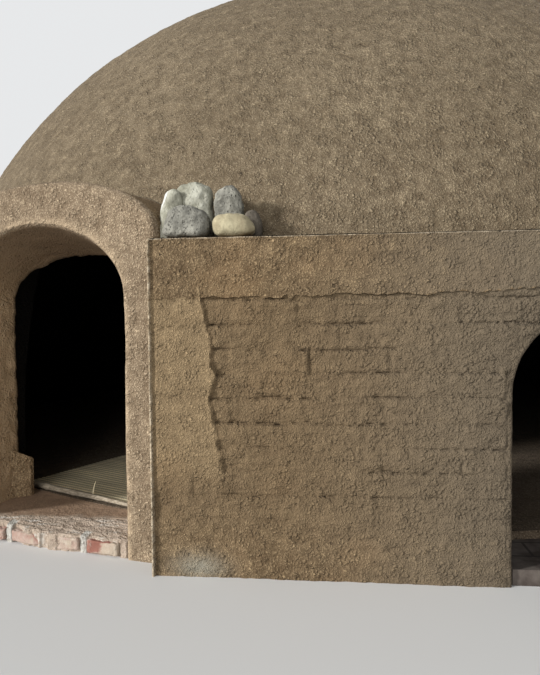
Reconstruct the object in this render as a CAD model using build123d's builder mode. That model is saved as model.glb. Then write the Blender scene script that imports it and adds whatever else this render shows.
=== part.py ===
from build123d import *
from math import atan2, cos, degrees, radians, sin, sqrt, tan
import os

# A temazcal, a masonry sweat lodge: a hollow plastered dome on an upright foot, a hooded doorway
# turned a little to the bench, a brick step and a sill, and a plastered bench beside the door with
# the arched mouth of the firebox in it. Millimetres and degrees. The origin is the dome's centre
# on the ground, +X runs to the right along the bench's face, +Y into the lodge, +Z up.

# Seats
seat = 0.3                      # gap left where curved faces meet

# Dome: upright at the foot, then a tight arc up the flank and a wide one over the crown
dome_radius = 3450.0            # outside, at the ground
foot_height = 400.0             # upright part of the wall
crown_flattening = 250.0        # the dome rises this much less over its foot than its radius
crown_widening = 450.0          # the wide arc's radius over the dome's
wall_thickness = 240.0          # masonry with plaster on both faces
crown_cap_height = 350.0        # the closing cap
upper_ring_rise = 800.0         # the ring under the cap
lower_segments = 7
shoulder_segments = 7
upper_segments = 5

# Floor
floor_thickness = 95.0

# Bench beside the door, with the fire mouth
bench_stand_out = 50.0          # from the dome's foot to the bench's face
bench_left = -890.0             # x of the left end, against the doorway
bench_length = 2270.0
bench_height = 1300.0
cap_thickness = 240.0           # the slab that makes the shelf
bench_arris = 12.0              # rounding of the bench's edges
fire_mouth_offset = 1664.0      # from the bench's left end to the mouth's centre
fire_mouth_radius = 310.0
fire_crown_cover = 50.0         # masonry between the mouth's crown and the cap
fire_mouth_lip = 35.0           # rounding of the mouth's edge
fire_arch_thickness = 140.0     # masonry over and beside the mouth's half-circle
hearth_thickness = 60.0

# Doorway: its frame has the opening's centre on the porch face as its origin
door_from_bench = 560.8         # from the bench's left end, along the bench's face
door_set_back = 237.3           # behind the bench's face
door_turn = -12.0               # angle of the porch face to the bench's face
door_width = 840.0
door_spring = 1082.0            # springing of the opening at its face
door_rise = 310.0
throat_depth = 370.0            # straight part of the passage
throat_spring = 1074.0          # springing at the throat's inner end
throat_rise = 223.0
splay_angle = 42.0              # angle of the flared part behind the throat
door_lip = 22.0                 # rounding of the opening's edge
porch_wall = 135.0              # beside the opening
porch_shift = 30.0              # hood's centre to the right of the opening's
porch_spring = 1345.0           # where the hood's outside starts to curve
porch_rise = 238.0
porch_edge = 40.0               # rounding of the hood's outer edge

# Stub of plaster at the left jamb
stub_width = 60.0               # at its corner
stub_slant = 85.0               # length of its front, which runs in from the jamb to the corner
stub_back = 30.0                # from the corner to its end
stub_height = 221.0
stub_slope = 26.0               # fall of the stub's top
stub_set_in = 385.0             # of the corner, from the porch face

# Step and sill, a little askew to the porch face
sill_set_in = 136.0             # from the porch face, on the door's centre line
sill_turn = 12.0                # angle of the sill's front edge, degrees
sill_edge = 14.0                # rounding of the sill's front
step_set_in = 4.0               # from the porch face, on the door's centre line
step_turn = -1.0                # angle of the brick row, degrees
brick_width = 166.0
brick_depth = 130.0
brick_height = 68.0
brick_joint = 30.0
brick_count = 4
brick_shift = 8.0               # of the row, from the door's centre line
brick_edge = 6.0                # worn edges
mortar_fall = 7.0               # angle of the mortar's slope down from the sill, degrees
mortar_drop = 6.0               # from the sill's top to the mortar

# Pole across the sill, a tapered stick
pole_left_radius = 19.0
pole_right_radius = 8.5
pole_left_reach = 450.0         # from the door's centre line
pole_right_reach = 370.0
pole_set_in = 402.0             # from the porch face, on the door's centre line
pole_turn = -14.0               # angle of the pole to the porch face, degrees

# Mat on the floor, square to the pole
mat_width = 900.0
mat_length = 1750.0
mat_thickness = 8.0
mat_gap = 8.0                   # between the pole and the mat's edge
mat_corner_reach = 330.0        # the front right corner, from the door's centre line

# Stones on the shelf: name, distance along the shelf from the bench's left end and ahead of the
# dome's face, size along x, y and z, turn, and the flat breaks on them. A break is the azimuth and
# elevation that it faces and how far out it lies, as a share of the stone's reach that way.
stones = (
    ("shelf_stone_porous", 138, 180, 204, 140, 134, 8, ((200, 35, 0.88), (310, 20, 0.9))),
    ("shelf_stone_ochre", 328, 151, 178, 122, 108, -6, ((70, 60, 0.92),)),
    ("shelf_stone_pale", 72, 98, 84, 78, 240, 6, ((215, 50, 0.78), (60, 70, 0.86), (300, 15, 0.86))),
    ("shelf_stone_green", 168, 51, 118, 82, 283, -6, ((330, 78, 0.75), (240, 20, 0.88))),
    ("shelf_stone_grey", 294, 47, 120, 80, 262, 8, ((10, 52, 0.78), (190, 45, 0.84), (280, 10, 0.88))),
    ("shelf_stone_brown", 392, 55, 70, 62, 132, 4, ((150, 55, 0.82), (340, 40, 0.86))),
)
stone_bed = 0.16                # share of a stone's height that is flat-bottomed away

# Sizes that follow
dome_height = foot_height + dome_radius - crown_flattening
crown_radius = dome_radius + crown_widening
bench_face = -(dome_radius + bench_stand_out)
bench_right = bench_left + bench_length
cap_bottom = bench_height - cap_thickness
fire_mouth_x = bench_left + fire_mouth_offset
fire_mouth_spring = cap_bottom - fire_crown_cover - fire_mouth_radius
door_x = bench_left - door_from_bench
door_y = bench_face + door_set_back
door_half = door_width / 2
door_crown = door_spring + door_rise
door_angle = degrees(atan2(door_y, door_x))
porch_half = door_half + porch_wall
lower_wall_height = porch_spring
upper_ring_height = dome_height - crown_cap_height
shoulder_height = upper_ring_height - upper_ring_rise
crown_centre = dome_height - crown_radius
crown_drop = foot_height - crown_centre
flank_radius = (crown_radius**2 - dome_radius**2 - crown_drop**2) / (2 * (crown_radius - dome_radius))
flank_centre = dome_radius - flank_radius
flank_arc = degrees(atan2(crown_drop, flank_centre))
room_reach = dome_radius - wall_thickness

# Planes: the porch face, seen from the front, and the doorway's ground
door_out = (sin(radians(door_turn)), -cos(radians(door_turn)), 0)
door_along = (cos(radians(door_turn)), sin(radians(door_turn)), 0)
door_plane = Plane(origin=(door_x, door_y, 0), x_dir=door_along, z_dir=door_out)
door_ground = Plane(origin=(door_x, door_y, 0), x_dir=door_along, z_dir=(0, 0, 1))
bench_plane = Plane(origin=(0, bench_face, 0), x_dir=(1, 0, 0), z_dir=(0, -1, 0))


def outside_radius(height, inset=0.0):
    """Radius of the dome at a height on its flank, less an inset measured square to the wall."""
    return flank_centre + sqrt((flank_radius - inset) ** 2 - max(height - foot_height, 0) ** 2)


def radial_plane(angle):
    """Upright plane through the dome's axis, with its x direction at an angle from +X."""
    a = radians(angle)
    return Plane(origin=(0, 0, 0), x_dir=(cos(a), sin(a), 0), z_dir=(sin(a), -cos(a), 0))


def dome_curve(inset):
    """The dome's profile, an upright line and two tangent arcs, set in from the outside."""
    Line((dome_radius - inset, 0), (dome_radius - inset, foot_height))
    CenterArc((flank_centre, foot_height), flank_radius - inset, 0, flank_arc)
    CenterArc((0, crown_centre), crown_radius - inset, flank_arc, 90 - flank_arc)


def dome_solid(inset):
    """Solid of revolution under the dome's curve, used to fit other pieces to the wall."""
    with BuildPart() as solid:
        with BuildSketch(Plane.XZ):
            with BuildLine():
                dome_curve(inset)
                Polyline((dome_radius - inset, 0), (0, 0), (0, dome_height - inset))
            make_face()
        revolve(axis=Axis.Z)
    return solid.part


def wall_band(low, high, start, arc):
    """Part of the dome's wall between two heights, turned through an arc about the axis."""
    with BuildPart() as band:
        with BuildSketch(radial_plane(start)):
            with BuildLine():
                dome_curve(0)
                dome_curve(wall_thickness)
                Line((dome_radius - wall_thickness, 0), (dome_radius, 0))
                Line((0, dome_height - wall_thickness), (0, dome_height))
            make_face()
            with Locations((0, low)):
                Rectangle(2 * dome_radius, high - low, align=(Align.CENTER, Align.MIN),
                          mode=Mode.INTERSECT)
        revolve(axis=Axis.Z, revolution_arc=arc)
    return band.part


def arch_outline(centre, half, spring, rise):
    """Upright sides with a half-ellipse over them."""
    EllipticalCenterArc((centre, spring), half, rise, 0, arc_size=180)
    Polyline((centre - half, spring), (centre - half, 0), (centre + half, 0), (centre + half, spring))


def across(reach, set_in, turn):
    """Point on the doorway's ground at a reach from the centre line, on a line askew to the face."""
    return (reach, set_in + tan(radians(turn)) * reach)


# Helper solids: the dome's outside and the room
dome_outside = dome_solid(-seat)
room = dome_solid(wall_thickness)

# Helper solid: the porch from its face back through the wall
with BuildPart() as porch_way:
    with BuildSketch(door_plane):
        with BuildLine():
            arch_outline(porch_shift, porch_half + seat, porch_spring, porch_rise + seat)
        make_face()
    extrude(amount=-dome_radius / 2)

# Helper solid: the way through the doorway, a throat whose vault falls toward the room, and a flare
flare = dome_radius / 4
flare_grow = flare * tan(radians(splay_angle))
with BuildPart() as passage:
    with BuildSketch(door_plane):
        with BuildLine():
            arch_outline(0, door_half, door_spring, door_rise)
        make_face()
    with BuildSketch(door_plane.offset(-throat_depth)):
        with BuildLine():
            arch_outline(0, door_half, throat_spring, throat_rise)
        make_face()
    loft(ruled=True)
    with BuildSketch(door_plane.offset(-throat_depth)):
        with BuildLine():
            arch_outline(0, door_half, throat_spring, throat_rise)
        make_face()
    with BuildSketch(door_plane.offset(-throat_depth - flare)):
        with BuildLine():
            arch_outline(0, door_half + flare_grow, throat_spring, throat_rise + flare_grow)
        make_face()
    loft(ruled=True)

# Helper solid: the firebox's way through the bench and the wall behind it
with BuildPart() as fire_way:
    with BuildSketch(bench_plane):
        with BuildLine():
            arch_outline(fire_mouth_x, fire_mouth_radius, fire_mouth_spring, fire_mouth_radius)
        make_face()
    extrude(amount=-dome_radius / 2)

os.makedirs("parts", exist_ok=True)


def save(part, name):
    """Label a finished piece and write it."""
    part.label = name
    export_step(part, f"parts/{name}.step")


# Dome, lower wall: the first and last segments stop at the doorway, the first has the firebox's way
lower_arc = 360 / lower_segments
for index in range(lower_segments):
    with BuildPart() as wall_segment:
        add(wall_band(0, lower_wall_height, door_angle + index * lower_arc, lower_arc))
        if index in (0, lower_segments - 1):
            add(porch_way.part, mode=Mode.SUBTRACT)
            add(passage.part, mode=Mode.SUBTRACT)
        if index == 0:
            add(fire_way.part, mode=Mode.SUBTRACT)
    save(wall_segment.part, f"wall_segment_{index + 1}")

# Dome, shoulder: staggered by half a segment, and the last one passes over the doorway
shoulder_arc = 360 / shoulder_segments
for index in range(shoulder_segments):
    with BuildPart() as shoulder_segment:
        add(wall_band(lower_wall_height, shoulder_height,
                      door_angle + (index + 0.5) * shoulder_arc, shoulder_arc))
        if index == shoulder_segments - 1:
            add(porch_way.part, mode=Mode.SUBTRACT)
            add(passage.part, mode=Mode.SUBTRACT)
    save(shoulder_segment.part, f"shoulder_segment_{index + 1}")

# Dome, upper ring and crown cap
upper_arc = 360 / upper_segments
for index in range(upper_segments):
    with BuildPart() as upper_segment:
        add(wall_band(shoulder_height, upper_ring_height, door_angle + index * upper_arc, upper_arc))
    save(upper_segment.part, f"upper_segment_{index + 1}")

with BuildPart() as crown_cap:
    add(wall_band(upper_ring_height, dome_height + seat, door_angle, 360))
save(crown_cap.part, "crown_cap")

# Floor slab
floor_radius = room_reach - seat
with BuildPart() as floor_slab:
    Cylinder(floor_radius, floor_thickness, align=(Align.CENTER, Align.CENTER, Align.MIN))
save(floor_slab.part, "floor_slab")

# Doorway: one hooded porch through the wall, then parted at the springing
with BuildPart() as doorway:
    with BuildSketch(door_plane):
        with BuildLine():
            arch_outline(porch_shift, porch_half, porch_spring, porch_rise)
        make_face()
    extrude(amount=-dome_radius / 2)
    porch_front = faces().filter_by(door_plane).sort_by(Axis((0, 0, 0), door_out))[-1]
    fillet(porch_front.edges().filter_by(lambda edge: edge.center().Z > seat), porch_edge)
    add(passage.part, mode=Mode.SUBTRACT)
    porch_front = faces().filter_by(door_plane).sort_by(Axis((0, 0, 0), door_out))[-1]
    fillet(porch_front.edges().filter_by(
        lambda edge: edge.center().Z > seat and edge.center().Z < door_crown + seat
        and abs(door_plane.to_local_coords(edge.center()).X) < door_half + seat), door_lip)
    add(room, mode=Mode.SUBTRACT)

with BuildPart() as door_left_pier:
    add(doorway.part)
    split(bisect_by=Plane.XY.offset(door_spring), keep=Keep.BOTTOM)
    split(bisect_by=Plane(origin=(door_x, door_y, 0), z_dir=door_along), keep=Keep.BOTTOM)
save(door_left_pier.part, "door_left_pier")

with BuildPart() as door_right_pier:
    add(doorway.part)
    split(bisect_by=Plane.XY.offset(door_spring), keep=Keep.BOTTOM)
    split(bisect_by=Plane(origin=(door_x, door_y, 0), z_dir=door_along), keep=Keep.TOP)
save(door_right_pier.part, "door_right_pier")

with BuildPart() as door_arch:
    add(doorway.part)
    split(bisect_by=Plane.XY.offset(door_spring), keep=Keep.TOP)
save(door_arch.part, "door_arch")

# Plaster stub on the left jamb, at the throat's inner end
with BuildPart() as jamb_stub:
    with BuildSketch(door_ground.offset(floor_thickness)):
        with BuildLine():
            Polyline((-door_half, stub_set_in - stub_slant), (-door_half + stub_width, stub_set_in),
                     (-door_half + stub_width, stub_set_in + stub_back),
                     (-door_half, stub_set_in + stub_back), close=True)
        make_face()
    extrude(amount=stub_height)
    stub_top = edges().filter_by(Axis(origin=(0, 0, 0), direction=door_out)).group_by(Axis.Z)[-1]
    chamfer(stub_top.sort_by(Axis((0, 0, 0), door_along))[-1], stub_width * 0.6, stub_slope)
save(jamb_stub.part, "jamb_stub")

# Step bricks, a row of headers set between the jambs
with BuildPart() as step_strip:
    with BuildSketch(door_ground):
        with Locations(Location((*across(0, step_set_in, step_turn), 0), (0, 0, step_turn))):
            Rectangle(2 * door_width, brick_depth, align=(Align.CENTER, Align.MIN))
        Rectangle(door_width, 4 * door_width, mode=Mode.INTERSECT)
    extrude(amount=brick_height)

with BuildPart() as step_bricks:
    with BuildSketch(door_ground):
        with Locations(Location((*across(0, step_set_in, step_turn), 0), (0, 0, step_turn))):
            for place in range(brick_count):
                pitch = brick_width + brick_joint
                with Locations(((place - (brick_count - 1) / 2) * pitch + brick_shift, 0)):
                    Rectangle(brick_width, brick_depth, align=(Align.CENTER, Align.MIN))
        Rectangle(door_width, 4 * door_width, mode=Mode.INTERSECT)
    extrude(amount=brick_height)
    fillet(faces().filter_by(Axis.Z).group_by(Axis.Z)[-1].edges(), brick_edge)
save(step_bricks.part, "step_bricks")

# Mortar between the bricks and up to the sill, sloped to shed water
sill_front = (*across(0, sill_set_in, sill_turn), floor_thickness)
with BuildPart() as step_mortar:
    with BuildSketch(door_ground):
        with BuildLine():
            Polyline(across(-door_half, sill_set_in, sill_turn), across(door_half, sill_set_in, sill_turn),
                     across(door_half, step_set_in, step_turn), across(-door_half, step_set_in, step_turn),
                     close=True)
        make_face()
    extrude(amount=floor_thickness)
    turn, fall = radians(sill_turn + door_turn), radians(mortar_fall)
    split(bisect_by=Plane(origin=door_ground.from_local_coords(sill_front) - Vector(0, 0, mortar_drop),
                          x_dir=(cos(turn), sin(turn), 0),
                          z_dir=(sin(turn) * sin(fall), -cos(turn) * sin(fall), cos(fall))),
          keep=Keep.BOTTOM)
    add(step_strip.part)
    add(step_bricks.part, mode=Mode.SUBTRACT)
save(step_mortar.part, "step_mortar")

# Sill, from the step back to the floor slab, as wide as the passage
with BuildPart() as door_sill:
    with BuildSketch(door_ground):
        with BuildLine():
            Polyline(across(-door_width, sill_set_in, sill_turn), across(door_width, sill_set_in, sill_turn),
                     (door_width, dome_radius / 4), (-door_width, dome_radius / 4), close=True)
        make_face()
    extrude(amount=floor_thickness)
    add(passage.part, mode=Mode.INTERSECT)
    front_top = faces().filter_by(Axis.Z).sort_by(Axis.Z)[-1].edges().sort_by(
        Axis((0, 0, 0), door_out))[-1]
    fillet(front_top, sill_edge)
    with BuildSketch(Plane.XY):
        Circle(floor_radius)
    extrude(amount=floor_thickness, mode=Mode.SUBTRACT)
    add(step_strip.part, mode=Mode.SUBTRACT)
save(door_sill.part, "door_sill")

# Pole lying across the sill, its underside level on the floor
pole_left = door_ground.from_local_coords(
    (*across(-pole_left_reach, pole_set_in, pole_turn), floor_thickness + seat + pole_left_radius))
pole_right = door_ground.from_local_coords(
    (*across(pole_right_reach, pole_set_in, pole_turn), floor_thickness + seat + pole_right_radius))
with BuildPart() as sill_pole:
    pole_end = Plane(origin=pole_left, z_dir=pole_right - pole_left)
    with BuildSketch(pole_end):
        Circle(pole_left_radius)
    with BuildSketch(pole_end.offset((pole_right - pole_left).length)):
        Circle(pole_right_radius)
    loft()
save(sill_pole.part, "sill_pole")

# Mat behind the pole, its front edge along it
mat_back = (pole_left_radius + mat_gap) / cos(radians(pole_turn))
with BuildPart() as floor_mat:
    with BuildSketch(door_ground.offset(floor_thickness + seat)):
        with Locations(Location((*across(mat_corner_reach, pole_set_in + mat_back, pole_turn), 0),
                                (0, 0, pole_turn))):
            Rectangle(mat_width, mat_length, align=(Align.MAX, Align.MIN))
    extrude(amount=mat_thickness)
save(floor_mat.part, "floor_mat")

# Bench: one mass against the dome and the porch, with the firebox's way cut through its face
with BuildPart() as bench:
    with BuildSketch(Plane.XY):
        with Locations((bench_left, bench_face)):
            Rectangle(bench_length, -bench_face, align=(Align.MIN, Align.MIN))
    extrude(amount=bench_height)
    bench_front = faces().filter_by(Axis.Y).sort_by(Axis.Y)[0]
    fillet(bench_front.edges().filter_by(lambda edge: edge.center().Z > seat), bench_arris)
    add(dome_outside, mode=Mode.SUBTRACT)
    add(porch_way.part, mode=Mode.SUBTRACT)
    add(fire_way.part, mode=Mode.SUBTRACT)
    bench_front = faces().filter_by(Axis.Y).sort_by(Axis.Y)[0]
    fillet(bench_front.edges().filter_by(
        lambda edge: edge.center().Z > seat and edge.center().Z < cap_bottom
        and abs(edge.center().X - fire_mouth_x) < fire_mouth_radius + seat), fire_mouth_lip)

# The bench is parted into the arch over the mouth, the masses that carry it, and the cap
arch_reach = fire_mouth_radius + fire_arch_thickness
with BuildPart() as fire_arch_space:
    with BuildSketch(bench_plane):
        with Locations((fire_mouth_x, fire_mouth_spring)):
            Rectangle(2 * arch_reach, bench_height, align=(Align.CENTER, Align.MIN))
    extrude(amount=bench_face)

with BuildPart() as bench_left_mass:
    add(bench.part)
    split(bisect_by=Plane.XY.offset(cap_bottom), keep=Keep.BOTTOM)
    split(bisect_by=Plane.YZ.offset(fire_mouth_x), keep=Keep.BOTTOM)
    add(fire_arch_space.part, mode=Mode.SUBTRACT)
save(bench_left_mass.part, "bench_left_mass")

with BuildPart() as bench_right_pier:
    add(bench.part)
    split(bisect_by=Plane.XY.offset(cap_bottom), keep=Keep.BOTTOM)
    split(bisect_by=Plane.YZ.offset(fire_mouth_x), keep=Keep.TOP)
    add(fire_arch_space.part, mode=Mode.SUBTRACT)
save(bench_right_pier.part, "bench_right_pier")

with BuildPart() as fire_mouth_arch:
    add(bench.part)
    split(bisect_by=Plane.XY.offset(cap_bottom), keep=Keep.BOTTOM)
    add(fire_arch_space.part, mode=Mode.INTERSECT)
save(fire_mouth_arch.part, "fire_mouth_arch")

with BuildPart() as shelf_cap:
    add(bench.part)
    split(bisect_by=Plane.XY.offset(cap_bottom), keep=Keep.TOP)
save(shelf_cap.part, "shelf_cap")

# Hearth slab on the firebox's ground, from its mouth back to the floor slab
with BuildPart() as fire_hearth:
    with BuildSketch(Plane.XY):
        with Locations((fire_mouth_x, bench_face + fire_mouth_lip)):
            Rectangle(2 * fire_mouth_radius, -bench_face / 2, align=(Align.CENTER, Align.MIN))
        Circle(floor_radius + seat, mode=Mode.SUBTRACT)
    extrude(amount=hearth_thickness)
save(fire_hearth.part, "fire_hearth")

# Stones that lie loose on the shelf, egg shapes with flat breaks, bedded on their flat bottoms
shelf_radius = outside_radius(bench_height)
for name, along, ahead, width, depth, height, turn, breaks in stones:
    stone_x = bench_left + along
    stone_y = -sqrt(shelf_radius**2 - stone_x**2) - ahead
    whole = height / (1 - stone_bed)
    with BuildPart() as stone:
        Sphere(0.5)
        scale(by=(width, depth, whole))
        for azimuth, elevation, share in breaks:
            a, e = radians(azimuth), radians(elevation)
            facing = Vector(cos(a) * cos(e), sin(a) * cos(e), sin(e))
            reach = Vector(width * facing.X, depth * facing.Y, whole * facing.Z).length / 2
            split(bisect_by=Plane(origin=facing * reach * share, z_dir=facing), keep=Keep.BOTTOM)
        split(bisect_by=Plane.XY.offset(whole * (stone_bed - 0.5)), keep=Keep.TOP)
    placed = stone.part.moved(
        Location((stone_x, stone_y, bench_height + whole * (0.5 - stone_bed)), (0, 0, turn)))
    save(placed, name)
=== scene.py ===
"""Temazcal: a plastered masonry sweat lodge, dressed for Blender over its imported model.

Metres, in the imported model's frame: the origin is the dome's centre on the ground, +X runs to the
right along the bench's face, +Y into the lodge, +Z up.
"""
from math import atan2, cos, pi, radians, sin, tan

import bmesh
import bpy
import numpy as np
from bpy.props import FloatProperty, FloatVectorProperty, PointerProperty
from mathutils import Matrix, Vector


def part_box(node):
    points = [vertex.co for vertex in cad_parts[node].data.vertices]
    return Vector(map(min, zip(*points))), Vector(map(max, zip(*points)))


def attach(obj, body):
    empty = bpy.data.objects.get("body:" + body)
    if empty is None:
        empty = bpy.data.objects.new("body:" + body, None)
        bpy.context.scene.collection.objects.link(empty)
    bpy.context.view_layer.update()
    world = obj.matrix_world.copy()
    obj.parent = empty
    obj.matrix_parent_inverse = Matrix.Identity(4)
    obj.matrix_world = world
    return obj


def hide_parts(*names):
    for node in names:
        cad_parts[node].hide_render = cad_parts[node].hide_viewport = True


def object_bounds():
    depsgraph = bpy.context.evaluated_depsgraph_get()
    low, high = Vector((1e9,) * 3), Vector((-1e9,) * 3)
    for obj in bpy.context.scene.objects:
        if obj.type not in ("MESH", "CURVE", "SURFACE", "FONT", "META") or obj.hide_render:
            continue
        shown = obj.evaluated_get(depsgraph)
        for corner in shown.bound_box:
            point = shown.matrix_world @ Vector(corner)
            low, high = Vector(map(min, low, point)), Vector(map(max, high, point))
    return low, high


bl_info = {
    "name": "Temazcal",
    "version": (1, 0, 0),
    "blender": (4, 5, 0),
    "location": "View3D > Sidebar > Temazcal",
    "description": "Builds a mud-plastered sweat lodge with its hooded doorway, bench and fire mouth",
    "category": "Add Mesh",
}

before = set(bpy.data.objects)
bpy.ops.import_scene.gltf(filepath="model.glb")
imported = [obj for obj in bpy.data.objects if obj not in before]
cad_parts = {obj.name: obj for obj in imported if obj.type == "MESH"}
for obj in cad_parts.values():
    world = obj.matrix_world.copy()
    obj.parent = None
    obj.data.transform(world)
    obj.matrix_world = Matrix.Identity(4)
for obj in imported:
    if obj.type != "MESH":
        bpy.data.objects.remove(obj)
CAD_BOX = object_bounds()
UP = np.array([0.0, 0.0, 1.0])

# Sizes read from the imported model
SHELF_LOW, SHELF_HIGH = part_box("shelf_cap")
BENCH_X0, BENCH_X1, BENCH_Y = SHELF_LOW[0], SHELF_HIGH[0], SHELF_LOW[1]
CAP_LOW, BENCH_TOP = SHELF_LOW[2], SHELF_HIGH[2]
DOME_R, DOME_TOP = CAD_BOX[1][0], CAD_BOX[1][2]
RING_1, RING_2, RING_3 = (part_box(n)[1][2] for n in ("wall_segment_3", "shoulder_segment_3",
                                                    "upper_segment_3"))
FLOOR_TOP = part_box("floor_slab")[1][2]

# Sizes of the model that its boxes don't give
FOOT, CROWN_R, WALL = 0.400, 3.900, 0.240
MOUTH_X, MOUTH_R, MOUTH_SPRING, MOUTH_LIP = 0.774, 0.310, 0.700, 0.035
DOOR_TURN = radians(-12.0)
DOOR_HALF, DOOR_SPRING, DOOR_RISE = 0.420, 1.082, 0.310
THROAT, THROAT_SPRING, THROAT_RISE = 0.370, 1.074, 0.223
SPLAY = tan(radians(42.0))
PORCH_HALF, PORCH_SHIFT, PORCH_SPRING, PORCH_RISE = 0.555, 0.030, 1.345, 0.238
DOOR_ORIGIN = np.array([-1.4508, -3.2627, 0.0])
DOOR_ALONG = np.array([cos(DOOR_TURN), sin(DOOR_TURN), 0.0])
DOOR_IN = np.array([-sin(DOOR_TURN), cos(DOOR_TURN), 0.0])
ARRIS = 0.012

# In the doorway's own frame: the sill's front edge in the middle and its slope; pitch, shift to the
# right and slope of the step's bricks; turn of the stick and mat, and how far in the stick lies
SILL_FRONT, SILL_SLANT = 0.136, tan(radians(12))
BRICK_PITCH, BRICK_SHIFT, BRICK_SLANT = 0.196, 0.008, 0.0175
MAT_TURN, POLE_IN = radians(-14), 0.402

# The dome's profile: upright foot, tight flank, wide crown
CROWN_C = DOME_TOP - CROWN_R
RISE = FOOT - CROWN_C
FLANK_R = (CROWN_R ** 2 - DOME_R ** 2 - RISE ** 2) / (2 * (CROWN_R - DOME_R))
FLANK_C = DOME_R - FLANK_R
FLANK_ARC = atan2(RISE, FLANK_C)

# The dome's mesh: angles between its points at the front, beside openings and behind, where the back
# begins, rows of the lower ring, of it over the mouth, of the other rings and of the inside, and how
# far a face runs on behind its neighbour
FRONT_PITCH, EDGE_PITCH, BACK_PITCH, BACK_FROM = 0.0046, 0.0040, 0.0185, radians(-48)
LOWER_ROWS, OVER_ROWS, RING_ROWS, INNER_ROWS = 92, 40, 94, 7
LAP = 0.004

# Roughness of dry plaster, and tints that don't follow a plaster's own colour
DRY = 0.95
# painted shade: near black for the inside of the lodge, where there is only shade
SHADE_BLACK = (0.006, 0.005, 0.004)
# pale dust and painted highlight along the bench's arris
EDGE_DUST_AND_HIGHLIGHT = (0.520, 0.430, 0.310)

# The stage: place, turn (yaw, pitch, roll) and lens of the camera; its suns by azimuth from the front
# to the right, elevation, width across the sky and strength; glow and backdrop by colour and strength
CAMERA_AT, CAMERA_TURN, CAMERA_LENS = (-0.192, -5.713, 0.997), (-5.85, -2.02, 0.56), 32.0
SUNS = (("key", -62, 17, 9, 4.5), ("fill", -8, 12, 40, 1.50), ("rear", 150, 24, 30, 1.5))
GLOW, BACKDROP = ((0.92, 0.96, 1.0, 1), 0.46), ((0.80, 0.81, 0.82, 1), 1.0)


# ---------------------------------------------------------------- noise

def hashed(ix, iy, iz, seed):
    """A fixed number from -1 to 1 for each whole-numbered cell: products, exclusive ors, shifts."""
    h = (ix * 73856093) ^ (iy * 19349663) ^ (iz * 83492791) ^ (seed * 2654435761 & 0xffffffff)
    h = ((h ^ (h >> 13)) * 1274126177) & 0xffffffff
    h = h ^ (h >> 16)
    return h / 0x7fffffff - 1.0


def lumps(P, size, seed):
    """Value noise: cell corners' numbers, blended by a smooth quintic in each direction."""
    q = np.asarray(P, float) / size
    c = np.floor(q).astype(np.int64)
    f = q - c
    f = f * f * f * (f * (f * 6 - 15) + 10)
    out = 0.0
    for i in (0, 1):
        for j in (0, 1):
            for k in (0, 1):
                w = ((f[..., 0] if i else 1 - f[..., 0]) * (f[..., 1] if j else 1 - f[..., 1])
                     * (f[..., 2] if k else 1 - f[..., 2]))
                out = out + w * hashed(c[..., 0] + i, c[..., 1] + j, c[..., 2] + k, seed)
    return out


def rough(P, size, octaves, seed, gain=0.5):
    """Sum of value noises, each half the size and gain times the height of the last."""
    total, weight, height = 0.0, 0.0, 1.0
    for k in range(octaves):
        total = total + height * lumps(P, size / 2 ** k, seed + 17 * k)
        weight += height
        height *= gain
    return total / weight


def step(x, low, high):
    """Smooth step from 0 at low to 1 at high."""
    t = np.clip((x - low) / (high - low), 0, 1)
    return t * t * (3 - 2 * t)


def even(P, size, octaves, seed):
    """The same sum of noises, from 0 to 1."""
    return 0.5 + 0.5 * rough(P, size, octaves, seed)


def bell(*terms):
    """Gaussian bump: e to the minus sum, over (value, centre, width), of the squared distances."""
    return np.exp(-sum(((x - centre) / width) ** 2 for x, centre, width in terms))


# ---------------------------------------------------------------- meshes

def points(x, y, z):
    """Points or directions from three coordinates, spread over one grid."""
    return np.stack(np.broadcast_arrays(x, y, z), -1)


def unit(N):
    """Directions, made one long."""
    return N / np.maximum(np.linalg.norm(N, axis=-1, keepdims=True), 1e-12)


def shares(n, skip=0):
    """Even shares from 0 to 1, without the first few."""
    return np.linspace(0, 1, n)[skip:]


def quarter(n, skip=0):
    """Cosines and sines of a quarter turn, without the first few."""
    a = np.linspace(0, pi / 2, n)[skip:]
    return np.cos(a), np.sin(a)


def ball(rows, columns):
    """Elevations from the lowest point of a ball to its highest, and azimuths round it."""
    return (np.linspace(-pi / 2, pi / 2, rows)[:, None],
            np.linspace(0, 2 * pi, columns, endpoint=False)[None, :])


def surface(P, N, loop_rows=False, loop_columns=False, **masks):
    """A grid of points with its outward directions and named masks, one value a point."""
    P = np.asarray(P, float)
    return {"P": P, "N": np.broadcast_to(N, P.shape), "rows": loop_rows, "columns": loop_columns,
            "masks": {k: np.broadcast_to(v, P.shape[:2]) for k, v in masks.items()}}


def quads_of(s):
    """Corner numbers of a grid's cells, wound so that the faces look along the outward directions."""
    n, m = s["P"].shape[:2]
    i = np.arange(n if s["rows"] else n - 1)[:, None]
    j = np.arange(m if s["columns"] else m - 1)[None, :]
    a, b = i * m + j, ((i + 1) % n) * m + j
    c, d = ((i + 1) % n) * m + (j + 1) % m, i * m + (j + 1) % m
    q = np.stack([a, b, c, d], -1).reshape(-1, 4)
    flat, norm = s["P"].reshape(-1, 3), s["N"].reshape(-1, 3)
    face = np.cross(flat[q[:, 2]] - flat[q[:, 0]], flat[q[:, 3]] - flat[q[:, 1]])
    return q[:, ::-1] if (face * norm[q[:, 0]]).sum() < 0 else q


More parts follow.
